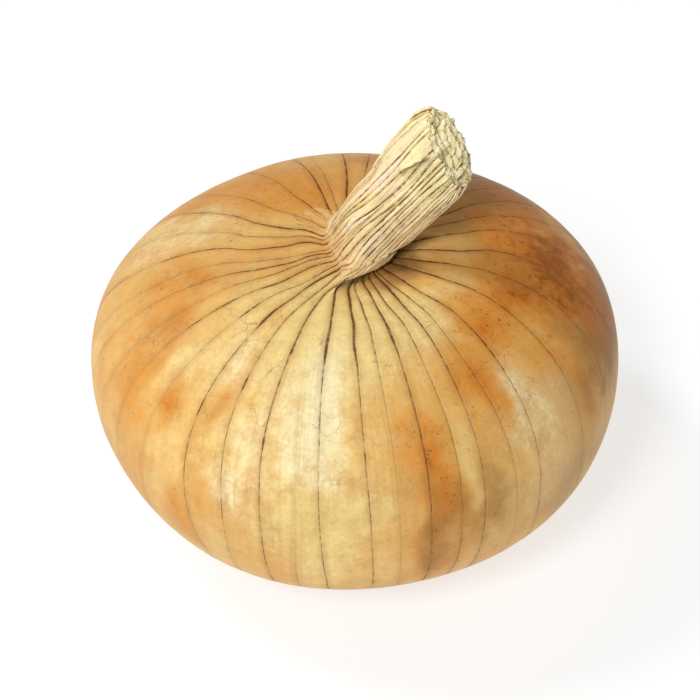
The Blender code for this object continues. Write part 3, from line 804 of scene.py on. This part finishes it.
bulb = bulb_object()
neck = neck_object()


# ---- the cut: packed leaf sheaths, crumpled, with painted shade in their gaps ---------
def cut_object():
    turns, steps = 440, 150
    angle = np.linspace(0, 2 * math.pi, turns, endpoint=False)
    azimuth = angle + AZIMUTH[-1, 0]
    order = np.argsort(AZIMUTH[-1])
    inside = SKIN[-1][order] - 0.45 * BASE_NORMAL[-1][order]
    inside = inside - ((SKIN[-1][order] - BASE[-1][order]) @ AXIS)[:, None] * AXIS
    inside = inside + (worn[-1][order])[:, None] * AXIS
    known = AZIMUTH[-1][order]
    rim = np.stack([np.interp(azimuth, known, inside[:, j], period=2 * math.pi) for j in range(3)], -1)
    middle = rim.mean(0)
    q = np.linspace(1, 0, steps)[:, None]
    flat = middle + (rim - middle)[None] * q[:, :, None]
    # Distance in from the rim, which orders the sheaths one inside another.
    u, v = (flat - middle) @ BROAD, (flat - middle) @ FACING
    ru, rv = (rim - middle) @ BROAD, (rim - middle) @ FACING
    inward = np.empty(u.shape)
    for i in range(steps):
        inward[i] = np.sqrt(((u[i][:, None] - ru[None]) ** 2 + (v[i][:, None] - rv[None]) ** 2).min(1))
    bend = 0.42 * noise(flat, 3.2, 51, 2) + 0.16 * noise(flat, 1.0, 52, 2)
    x = inward + bend * smooth(inward / 0.6)
    edges = np.array([-0.9, 1.0, 2.2, 3.3, 4.3, 9.0])
    layer = np.clip(np.searchsorted(edges, x) - 1, 0, len(edges) - 2)
    to_gap = np.minimum(x - edges[layer], edges[layer + 1] - x)
    swirl = np.stack([np.cos(angle)[None] * 2.1 + layer * 3.7, np.sin(angle)[None] * 2.1 + 0 * q, layer * 5.1], -1)
    # Inner leaf ends stand higher, so the end is domed.
    lift = np.array([0.1, 0.6, 1.05, 1.4, 1.55])[layer] + 0.6 * noise(swirl, 1.0, 53, 2)
    round_off = 1 - np.exp(-((to_gap / 0.30) ** 2))
    crest = 1 - np.exp(-((to_gap / 0.10) ** 2))
    folds = noise(swirl, 0.42, 58, 2)
    # Each leaf end is pinched across into flakes.
    across = np.stack([np.cos(angle)[None] * 3.4 + layer * 3.7, np.sin(angle)[None] * 3.4 + 0.12 * x, layer * 5.1], -1)
    facet = noise(across, 1.0, 54, 2)
    crease = np.minimum(np.abs(facet) * 4.0, 1)
    height = lift * crest + 0.34 * round_off * crest - 0.75 * (1 - crest) - 0.34 * (1 - crease) * crest
    height = height + 0.26 * folds * crest + 0.06 * noise(flat, 0.6, 55, 2)
    height = height - 0.45 * smooth((0.30 - inward) / 0.30)
    height = height * smooth((q + 0.02) / 0.05) + 1.1 * (1 - smooth((q + 0.02) / 0.05)) - 0.1
    # Painted shade along the creases that pinch each leaf end.
    painted_crease_shade = (1 - crease) * crest * smooth(0.5 + 2 * noise(flat, 1.3, 59, 1))
    points = flat + height[:, :, None] * AXIS
    loose = crest * smooth(inward / 0.8) * smooth(q / 0.2)
    points += (0.26 * noise(flat, 1.1, 56, 2) * loose)[:, :, None] * BROAD
    points += (0.26 * noise(flat, 1.1, 57, 2) * loose)[:, :, None] * FACING
    # The outermost ring runs on down inside the neck's wall.
    steep = np.array([3.6, 1.5, 0.5])[:, None, None] * AXIS
    away = (rim - middle) / np.linalg.norm(rim - middle, axis=1, keepdims=True)
    skirt = points[0][None] - steep + 0.12 * away[None]
    points = np.concatenate([skirt, points])
    extend = np.full((3, turns), 0.0)
    crest, crease, painted_crease_shade = np.concatenate([extend + 0.4, crest]), np.concatenate([extend + 1, crease]), np.concatenate([extend, painted_crease_shade])
    layer, x = np.concatenate([extend.astype(int), layer]), np.concatenate([extend, x])
    flat = np.concatenate([skirt, flat])
    steps += 3
    q = np.concatenate([[[1.02], [1.013], [1.006]], q])
    vertices = (points + CENTRE).reshape(-1, 3)
    faces = grid_faces(steps, turns).tolist()
    uv = np.empty((steps - 1, turns, 4, 2))
    for corner, (du, dv) in enumerate(((0, 0), (1, 0), (1, 1), (0, 1))):
        a = 2 * math.pi * (np.arange(turns) + du) / turns
        r = (q[1:, 0] if dv else q[:-1, 0])[:, None] * 0.49
        uv[:, :, corner, 0] = 0.5 + r * np.cos(a)
        uv[:, :, corner, 1] = 0.5 + r * np.sin(a)
    # Painted shade in the gaps between the sheaths, broken by noise.
    pit = np.clip(1 - crest, 0, 1) * smooth(0.75 + 1.6 * noise(flat, 1.2, 60, 2))
    values = {"painted_gap_shade": pit, "lump": crease, "painted_crease_shade": painted_crease_shade, "layer": layer / 5.0 + 0.0 * x}
    return add_piece(
        "cut_sheaths", vertices, faces, None, {k: v.ravel() for k, v in values.items()}, None, uv.reshape(-1, 2)
    )


cut = cut_object()


# ---- root plate and dried root stubs ----------------------------------------------------
def plate_object():
    turns, steps = 220, 60
    angle = np.linspace(0, 2 * math.pi, turns, endpoint=False)[None]
    r = np.linspace(0, 11.4, steps)[:, None]
    flat = np.stack([r * np.cos(angle), r * np.sin(angle), 0 * r * angle], -1)
    wob = 1 + 0.045 * noise(np.stack([np.cos(angle) * 2.2, np.sin(angle) * 2.2, 0 * angle], -1), 1.0, 61, 2)
    edge = smooth((r - 8.6 * wob) / 1.6)
    z = 0.02 + 0.10 * (0.5 + 0.5 * noise(flat, 1.5, 62, 3)) + 1.25 * edge + 0.10 * edge * noise(flat, 0.8, 63, 2)
    z = np.where(r < 6.5, np.maximum(z * 0.5, 0.0), z)
    z = z - z.min()
    points = flat + np.array([0, 0, 1.0]) * z[:, :, None]
    points[:, :, :2] += CENTRE[:2] + np.array([LEAN_X * -PLATE_DROP, 0])
    faces = grid_faces(steps, turns)[:, ::-1].tolist()
    uv = np.empty((steps - 1, turns, 4, 2))
    order = ((0, 1), (1, 1), (1, 0), (0, 0))
    for corner, (du, dv) in enumerate(order):
        a = 2 * math.pi * (np.arange(turns) + du) / turns
        rr = (r[1:, 0] if dv else r[:-1, 0])[:, None] / 11.4 * 0.49
        uv[:, :, corner, 0] = 0.5 + rr * np.cos(a)
        uv[:, :, corner, 1] = 0.5 + rr * np.sin(a)
    return add_piece("root_plate", points.reshape(-1, 3), faces, None, {"edge": (edge + 0 * angle).ravel()}, None, uv.reshape(-1, 2))


def tube(path, radii, sides=7):
    """Vertices and faces of a tapered round strand with closed ends."""
    path = np.asarray(path)
    tangent = np.gradient(path, axis=0)
    tangent /= np.linalg.norm(tangent, axis=1, keepdims=True)
    ref = np.array([0.0, 0.0, 1.0])
    a = np.cross(tangent, ref)
    a /= np.maximum(np.linalg.norm(a, axis=1, keepdims=True), 1e-9)
    b = np.cross(tangent, a)
    t = np.linspace(0, 2 * math.pi, sides, endpoint=False)
    rings = path[:, None] + radii[:, None, None] * (np.cos(t)[None, :, None] * a[:, None] + np.sin(t)[None, :, None] * b[:, None])
    vertices = np.concatenate([rings.reshape(-1, 3), [path[0], path[-1]]])
    n = len(path)
    faces = []
    for i in range(n - 1):
        for k in range(sides):
            m = (k + 1) % sides
            faces.append((i * sides + k, i * sides + m, (i + 1) * sides + m, (i + 1) * sides + k))
    for k in range(sides):
        m = (k + 1) % sides
        faces.append((n * sides, m, k))
        faces.append((n * sides + 1, (n - 1) * sides + k, (n - 1) * sides + m))
    return vertices, faces


def roots_object():
    rng = np.random.default_rng(7)
    vertices, faces, count = [], [], 0
    centre = CENTRE[:2] + np.array([LEAN_X * -PLATE_DROP, 0])
    for k in range(64):
        at = 2 * math.pi * (k + rng.uniform(-0.4, 0.4)) / 64
        start = rng.uniform(7.6, 9.4)
        length = rng.uniform(1.6, 4.4)
        curl = rng.uniform(-0.5, 0.5)
        t = np.linspace(0, 1, 9)
        r = start + length * t
        a = at + curl * t * t * 0.35
        z = 0.42 + 0.40 * np.sin(t * math.pi * rng.uniform(0.4, 1.1)) + rng.uniform(-0.1, 0.15)
        size = rng.uniform(0.16, 0.27) * (1 - 0.75 * t**1.5)
        z = np.maximum(z, size + 0.05)
        path = np.stack([centre[0] + r * np.cos(a), centre[1] + r * np.sin(a), z], -1)
        v, f = tube(path, size)
        vertices.append(v)
        faces += [tuple(i + count for i in face) for face in f]
        count += len(v)
    return add_piece("root_stubs", np.concatenate(vertices), faces)


plate = plate_object()
roots = roots_object()


# ---- materials ---------------------------------------------------------------------------
def srgb(r, g, b):
    out = []
    for c in (r, g, b):
        c = c / 255
        out.append(c / 12.92 if c <= 0.04045 else ((c + 0.055) / 1.055) ** 2.4)
    return (*out, 1.0)


class Finish:
    """A material's nodes, with short names for the ones used often."""

    def __init__(self, name):
        self.material = bpy.data.materials.new(name)
        self.material.use_nodes = True
        self.tree = self.material.node_tree
        self.shader = self.tree.nodes["Principled BSDF"]

    def put(self, socket, value):
        if isinstance(value, bpy.types.NodeSocket):
            self.tree.links.new(value, socket)
        else:
            socket.default_value = value

    def node(self, kind, inputs=(), **settings):
        made = self.tree.nodes.new(kind)
        for key, value in settings.items():
            setattr(made, key, value)
        for key, value in dict(inputs).items():
            self.put(made.inputs[key], value)
        return made

    def math(self, operation, a, b=None, c=None, clamp=False):
        made = self.node("ShaderNodeMath", operation=operation, use_clamp=clamp)
        for k, value in enumerate((a, b, c)):
            if value is not None:
                self.put(made.inputs[k], value)
        return made.outputs[0]

    def step(self, value, low, high, out_low=0.0, out_high=1.0):
        made = self.node("ShaderNodeMapRange", interpolation_type="SMOOTHSTEP", clamp=True)
        for key, v in ((0, value), (1, low), (2, high), (3, out_low), (4, out_high)):
            self.put(made.inputs[key], v)
        return made.outputs[0]

    def mix(self, factor, a, b, blend="MIX"):
        made = self.node("ShaderNodeMix", data_type="RGBA", blend_type=blend, clamp_factor=True)
        self.put(made.inputs[0], factor)
        self.put(made.inputs[6], a)
        self.put(made.inputs[7], b)
        return made.outputs[2]

    def attribute(self, name, vector=False):
        made = self.node("ShaderNodeAttribute", attribute_name=name)
        return made.outputs["Vector" if vector else "Fac"]

    def coordinates(self):
        return self.node("ShaderNodeTexCoord").outputs["Object"]

    def stretched(self, vector, scale):
        made = self.node("ShaderNodeVectorMath", operation="MULTIPLY")
        self.put(made.inputs[0], vector)
        self.put(made.inputs[1], scale)
        return made.outputs[0]

    def noise(self, vector, scale, detail=3.0, rough=0.55, distortion=0.0):
        made = self.node("ShaderNodeTexNoise", noise_dimensions="3D")
        for key, v in (("Vector", vector), ("Scale", scale), ("Detail", detail), ("Roughness", rough), ("Distortion", distortion)):
            self.put(made.inputs[key], v)
        return made.outputs["Fac"]

    def cells(self, vector, scale, random=1.0):
        made = self.node("ShaderNodeTexVoronoi", voronoi_dimensions="3D", feature="DISTANCE_TO_EDGE")
        for key, v in (("Vector", vector), ("Scale", scale), ("Randomness", random)):
            self.put(made.inputs[key], v)
        return made.outputs["Distance"]

    def bump(self, height, strength, distance, normal=None):
        made = self.node("ShaderNodeBump")
        made.inputs["Strength"].default_value = strength
        made.inputs["Distance"].default_value = distance
        self.put(made.inputs["Height"], height)
        if normal is not None:
            self.put(made.inputs["Normal"], normal)
        return made.outputs["Normal"]

    def finish(self, colour, roughness, normal, specular=0.5, coat=0.0, coat_roughness=0.3, sheen=0.0):
        s = self.shader.inputs
        self.put(s["Base Color"], colour)
        self.put(s["Roughness"], roughness)
        if normal is not None:
            self.put(s["Normal"], normal)
        s["Specular IOR Level"].default_value = specular
        s["Coat Weight"].default_value = coat
        s["Coat Roughness"].default_value = coat_roughness
        s["Sheen Weight"].default_value = sheen
        return self.material


def skin_material(name):
    f = Finish(name)
    at = f.coordinates()
    grain = f.attribute("grain", True)
    gap, vein = f.attribute("gap"), f.attribute("vein")
    neck, high = f.attribute("neck"), f.attribute("high")
    broad = f.noise(at, 95, 4, 0.6)
    mottle = f.noise(at, 330, 4, 0.62, 0.3)
    fine = f.noise(at, 1500, 3, 0.6)
    streak = f.noise(f.stretched(grain, (1.35, 1.35, 0.045)), 1.0, 3, 0.6)
    thread = f.noise(f.stretched(grain, (6.5, 6.5, 0.12)), 1.0, 2, 0.6)
    fibre = f.noise(f.stretched(grain, (0.55, 0.55, 0.16)), 1.0, 4, 0.6)

    def pigment(name, ragged=0.9, low=0.04, high=0.96, fray=0.4):
        """A stain's share here, clouded, with its edges drawn out along the veins."""
        value = f.attribute(name)
        inside = f.math("MULTIPLY", value, 2.2, clamp=True)
        cloud = f.math("ADD", f.math("SUBTRACT", mottle, 0.5), f.math("SUBTRACT", broad, 0.5))
        cloud = f.math("MULTIPLY_ADD", f.math("SUBTRACT", streak, 0.5), 0.3, cloud)
        cloud = f.math("MULTIPLY_ADD", f.math("SUBTRACT", fine, 0.5), fray, cloud)
        cloud = f.math("MULTIPLY", f.math("MULTIPLY", cloud, ragged), inside)
        return f.step(f.math("ADD", cloud, value), low, high)

    strip = f.attribute("strip")
    skin = f.mix(f.step(broad, 0.30, 0.70), srgb(228, 186, 106), srgb(220, 168, 96))
    skin = f.mix(f.math("MULTIPLY", f.step(strip, 0.05, 0.7), 0.5), skin, srgb(236, 204, 134))
    skin = f.mix(f.math("MULTIPLY", f.step(strip, -0.05, -0.7), 0.5), skin, srgb(212, 154, 80))
    skin = f.mix(f.math("MULTIPLY", f.step(f.noise(at, 120, 4, 0.6), 0.48, 0.70), 0.40), skin, srgb(218, 154, 74))
    skin = f.mix(f.math("MULTIPLY", f.step(f.noise(at, 150, 4, 0.6, 0.4), 0.50, 0.70), 0.40), skin, srgb(238, 208, 142))
    skin = f.mix(f.math("MULTIPLY", f.step(f.attribute("level"), 30, 4), 0.6), skin, srgb(184, 130, 66))
    skin = f.mix(pigment("straw"), skin, srgb(234, 206, 134))
    skin = f.mix(f.math("MULTIPLY", pigment("pink"), 0.9), skin, srgb(228, 190, 132))
    skin = f.mix(f.math("MULTIPLY", pigment("amber"), 0.85), skin, srgb(214, 142, 52))
    skin = f.mix(pigment("cream", 0.8), skin, srgb(244, 230, 180))
    # olive stains; next to the neck's right foot and on the right flank this olive is painted shade
    olive_and_painted_shade = pigment("olive_and_painted_shade", 0.7)
    skin = f.mix(f.math("MULTIPLY", olive_and_painted_shade, 0.8), skin, srgb(140, 100, 46))
    # painted shadow of the neck: where the olive mask passes 0.95, by the neck's right foot, a deeper dark
    skin = f.mix(f.math("MULTIPLY", f.step(f.attribute("olive_and_painted_shade"), 0.95, 1.3), 0.6), skin, srgb(92, 64, 30))
    rust = pigment("rust", 1.35, -0.22, 1.25, 0.25)
    skin = f.mix(f.step(rust, 0.0, 0.75), skin, srgb(202, 118, 30))
    skin = f.mix(f.math("MULTIPLY", f.step(rust, 0.50, 0.95), 0.85), skin, srgb(140, 76, 16))
    # dried neck: pinkish tan at its foot, straw above, greenish by the cut
    straw = f.mix(f.step(broad, 0.40, 0.60), srgb(242, 219, 164), srgb(249, 231, 184))
    straw = f.mix(f.step(high, 0.5, 1.0), straw, srgb(246, 234, 176))
    straw = f.mix(f.step(high, 0.38, 0.02), straw, srgb(234, 198, 140))
    straw = f.mix(f.step(strip, 0.05, 0.6), straw, srgb(248, 226, 192))
    straw = f.mix(f.math("MULTIPLY", f.step(strip, -0.1, -0.6), 0.75), straw, srgb(212, 180, 114))
    tan = f.step(f.noise(f.stretched(grain, (0.9, 0.9, 0.16)), 1.0, 2, 0.5), 0.60, 0.74)
    straw = f.mix(f.math("MULTIPLY", tan, 0.4), straw, srgb(216, 172, 108))
    straw = f.mix(f.math("MULTIPLY", pigment("pink"), 0.8), straw, srgb(246, 220, 190))
    straw = f.mix(f.math("MULTIPLY", pigment("amber"), 0.85), straw, srgb(216, 164, 96))
    straw = f.mix(f.math("MULTIPLY", rust, 0.8), straw, srgb(178, 112, 56))
    skin = f.mix(neck, skin, straw)
    # mottling, streaks and specks
    shade = f.math("MULTIPLY_ADD", f.math("SUBTRACT", mottle, 0.5), 0.40, 1.0)
    shade = f.math("MULTIPLY_ADD", f.math("SUBTRACT", streak, 0.5), 0.22, shade)
    shade = f.math("MULTIPLY_ADD", f.math("SUBTRACT", thread, 0.5), 0.07, shade)
    shade = f.math("MULTIPLY_ADD", f.math("SUBTRACT", fibre, 0.5), f.math("MULTIPLY", neck, 0.7), shade)
    shade = f.math("MULTIPLY_ADD", f.math("SUBTRACT", fine, 0.5), 0.30, shade)
    grey = f.node("ShaderNodeCombineColor")
    for k in range(3):
        f.put(grey.inputs[k], shade)
    skin = f.mix(1.0, skin, grey.outputs[0], "MULTIPLY")
    speck = f.step(f.noise(at, 1050, 2, 0.7), 0.61, 0.73)
    stained = f.math("ADD", f.attribute("rust"), f.math("MULTIPLY", f.attribute("amber"), 0.5), clamp=True)
    speck = f.math("MULTIPLY", speck, f.math("MULTIPLY_ADD", stained, 0.75, 0.10))
    skin = f.mix(speck, skin, srgb(116, 60, 20))
    blotch = f.step(f.noise(f.stretched(at, (1.0, 1.0, 1.5)), 520, 4, 0.68), 0.53, 0.68)
    blotch = f.math("MULTIPLY", blotch, f.math("MULTIPLY_ADD", stained, 0.42, 0.03))
    skin = f.mix(f.math("MULTIPLY", blotch, f.math("SUBTRACT", 1.0, neck)), skin, srgb(168, 96, 34))
    # cross veins, a faint broken net between the long ones
    warp = f.node("ShaderNodeVectorMath", operation="MULTIPLY_ADD")
    warp_noise = f.node("ShaderNodeTexNoise", inputs={"Vector": at, "Scale": 260.0, "Detail": 4.0})
    f.put(warp.inputs[0], warp_noise.outputs["Color"])
    warp.inputs[1].default_value = (0.006, 0.006, 0.006)
    f.put(warp.inputs[2], at)
    net = f.step(f.cells(warp.outputs[0], 230), 0.032, 0.008)
    torn = f.step(f.noise(at, 150, 3, 0.6), 0.50, 0.66)
    reach = f.math("MULTIPLY", f.step(f.attribute("level"), 46, 74), f.step(f.attribute("level"), 95, 86))
    net = f.math("MULTIPLY", f.math("MULTIPLY", net, torn), f.math("MULTIPLY", reach, 0.45))
    skin = f.mix(net, skin, srgb(128, 72, 28))
    # long veins: a brown halo with a dark, frayed line in it
    high_up = f.step(f.attribute("level"), 74, 92)
    frayed = f.math("MULTIPLY_ADD", f.math("SUBTRACT", f.noise(at, 1100, 3, 0.65), 0.5), 0.34, gap)
    halo = f.math("MULTIPLY", f.step(gap, 1.5, 0.0), f.math("MULTIPLY", vein, 0.32))
    halo = f.math("MULTIPLY", halo, f.math("SUBTRACT", 1.0, neck))
    skin = f.mix(halo, skin, srgb(150, 96, 42))
    width = f.math("MULTIPLY_ADD", vein, 0.17, 0.05)
    width = f.math("MULTIPLY", width, f.math("MULTIPLY_ADD", high_up, 0.30, 0.72))
    width = f.math("MULTIPLY", width, f.math("MULTIPLY_ADD", f.attribute("swell"), 0.80, 0.62))
    width = f.math("MULTIPLY", width, f.math("MULTIPLY_ADD", neck, -0.30, 1.0))
    line = f.step(frayed, width, f.math("MULTIPLY", width, 0.3))
    dash = f.step(f.noise(at, 520, 2, 0.6), 0.30, 0.52, 0.30, 1.0)
    dash = f.math("MAXIMUM", dash, high_up)
    line = f.math("MULTIPLY", f.math("MULTIPLY", line, dash), f.step(vein, 0.0, 0.8))
    ink = f.mix(f.math("MAXIMUM", high_up, f.step(f.attribute("swell"), 0.9, 1.4)), srgb(130, 66, 12), srgb(92, 46, 10))
    ink = f.mix(neck, ink, srgb(106, 72, 30))
    worn_line = f.math("MULTIPLY", f.step(f.noise(at, 300, 3, 0.6), 0.54, 0.40), f.math("MULTIPLY", neck, 0.65))
    line = f.math("MULTIPLY", line, f.math("SUBTRACT", 1.0, worn_line))
    skin = f.mix(f.math("MULTIPLY", line, 0.9), skin, ink)
    # fine wrinkles gather between the veins beside the neck
    wrinkle = f.noise(f.stretched(grain, (0.26, 0.26, 0.13)), 1.0, 2, 0.55)
    wrinkle = f.step(f.math("ABSOLUTE", f.math("SUBTRACT", wrinkle, 0.5)), 0.016, 0.003)
    broken = f.step(f.noise(at, 420, 2, 0.5), 0.46, 0.60)
    wrinkle = f.math("MULTIPLY", f.math("MULTIPLY", wrinkle, broken), f.math("MULTIPLY", f.attribute("crinkle"), 0.5))
    skin = f.mix(wrinkle, skin, srgb(112, 66, 28))
    # the bent crease gets a painted highlight, and torn edges are pale
    skin = f.mix(f.math("MULTIPLY", f.attribute("fold"), 0.4), skin, srgb(232, 198, 146))
    # painted shadow: darker under the front fold's lip and beside the peeled strip
    skin = f.mix(f.math("MULTIPLY", f.attribute("painted_fold_flap_shadow"), 0.85), skin, srgb(84, 58, 32))
    rough = f.math("MULTIPLY_ADD", fine, 0.16, 0.36)
    rough = f.math("MULTIPLY_ADD", neck, 0.28, rough)
    rough = f.math("MULTIPLY_ADD", mottle, 0.12, rough)
    rough = f.math("MULTIPLY_ADD", line, 0.30, rough)
    low = f.bump(fine, 0.25, 0.00018)
    low = f.bump(thread, 0.35, 0.00016, low)
    low = f.bump(mottle, 0.3, 0.0004, low)
    low = f.bump(f.step(gap, 0.0, 0.3), 0.5, 0.00012, low)
    return f.finish(skin, rough, low, specular=0.24, coat=0.03, coat_roughness=0.4)


def cut_material():
    f = Finish("cut_sheaths")
    at = f.coordinates()
    painted_gap_shade, lump = f.attribute("painted_gap_shade"), f.attribute("lump")
    fine = f.noise(at, 1700, 3, 0.65)
    wide = f.noise(at, 420, 3, 0.6)
    body = f.mix(f.step(wide, 0.35, 0.65), srgb(248, 234, 170), srgb(255, 246, 204))
    body = f.mix(f.step(fine, 0.50, 0.75), body, srgb(250, 244, 220))
    # painted shade along the pinched creases
    body = f.mix(f.math("MULTIPLY", f.attribute("painted_crease_shade"), 0.65), body, srgb(146, 122, 56))
    body = f.mix(f.math("MULTIPLY", f.step(f.noise(at, 700, 2, 0.6), 0.60, 0.76), 0.45), body, srgb(184, 166, 96))
    # painted shade in the gaps between the sheaths
    body = f.mix(f.step(painted_gap_shade, 0.26, 0.80), body, srgb(86, 62, 26))
    low = f.bump(fine, 0.6, 0.0003)
    return f.finish(body, f.math("MULTIPLY_ADD", fine, 0.2, 0.6), low, specular=0.3)


def root_material(name, dark, pale):
    f = Finish(name)
    at = f.coordinates()
    wide, fine = f.noise(at, 500, 4, 0.65), f.noise(at, 2200, 3, 0.6)
    body = f.mix(f.step(wide, 0.3, 0.7), dark, pale)
    body = f.mix(f.step(fine, 0.55, 0.8), body, srgb(84, 56, 32))
    return f.finish(body, f.math("MULTIPLY_ADD", fine, 0.2, 0.62), f.bump(fine, 0.7, 0.0003), specular=0.25)


skin_finish = skin_material("papery_skin")
neck_finish = skin_material("dried_neck")
bulb.data.materials.append(skin_finish)
neck.data.materials.append(neck_finish)
cut.data.materials.append(cut_material())
plate.data.materials.append(root_material("root_plate", srgb(122, 84, 48), srgb(176, 134, 84)))
roots.data.materials.append(root_material("dried_roots", srgb(166, 128, 80), srgb(204, 172, 118)))

for piece, slot in ((bulb, "papery_skin"), (neck, "dried_neck"), (cut, "cut_sheaths"), (plate, "dried_roots"), (roots, "dried_roots")):
    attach(piece, "root")
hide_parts("onion")
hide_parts("onion")
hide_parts("onion")
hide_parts("onion")


# ---- floor, light and camera ----------------------------------------------------------------
def make_floor():
    mesh = bpy.data.meshes.new("floor")
    h = 3.0
    mesh.from_pydata([(-h, -h, 0), (h, -h, 0), (h, h, 0), (-h, h, 0)], [], [(0, 1, 2, 3)])
    floor = bpy.data.objects.new("floor", mesh)
    bpy.context.scene.collection.objects.link(floor)
    f = Finish("floor")
    f.shader.inputs["Base Color"].default_value = (0.35, 0.35, 0.35, 1)
    f.shader.inputs["Emission Color"].default_value = (1, 1, 1, 1)
    f.shader.inputs["Emission Strength"].default_value = 0.70
    f.shader.inputs["Roughness"].default_value = 0.9
    f.shader.inputs["Specular IOR Level"].default_value = 0.1
    mesh.materials.append(f.material)


def area_light(name, place, target, size, power, colour=(1, 1, 1)):
    data = bpy.data.lights.new(name, "AREA")
    data.shape = "DISK"
    data.size = size
    data.energy = power
    data.color = colour
    light = bpy.data.objects.new(name, data)
    light.location = place
    light.rotation_euler = (Vector(target) - Vector(place)).to_track_quat("-Z", "Y").to_euler()
    bpy.context.scene.collection.objects.link(light)


make_floor()
world = bpy.data.worlds.new("studio")
bpy.context.scene.world = world
world.use_nodes = True
world.node_tree.nodes["Background"].inputs["Color"].default_value = (1, 1, 1, 1)
world.node_tree.nodes["Background"].inputs["Strength"].default_value = 0.26
area_light("key", (-0.40, -0.90, 1.08), (0, 0, 0.03), 0.40, 11.8, (1.0, 0.998, 0.99))
area_light("top", (-0.75, 0.30, 1.1), (0, 0, 0.03), 0.35, 7.2)

ELEVATION = math.radians(42)
DISTANCE = 0.5
centre = Vector(CENTRE * MM)
back = Vector((0, -math.cos(ELEVATION), math.sin(ELEVATION)))
right = Vector((1, 0, 0))
up = right.cross(-back).normalized()
aim = centre - right * 0.00097 + up * 0.00147
camera_data = bpy.data.cameras.new("camera")
camera_data.sensor_width = 36
camera_data.lens = 2922 / 700 * 36
camera_data.clip_end = 20
camera = bpy.data.objects.new("camera", camera_data)
camera.location = aim + back * DISTANCE
camera.rotation_euler = (aim - camera.location).to_track_quat("-Z", "Y").to_euler()
bpy.context.scene.collection.objects.link(camera)
bpy.context.scene.camera = camera
bpy.context.scene.view_settings.view_transform = "Standard"

bpy.context.view_layer.update()
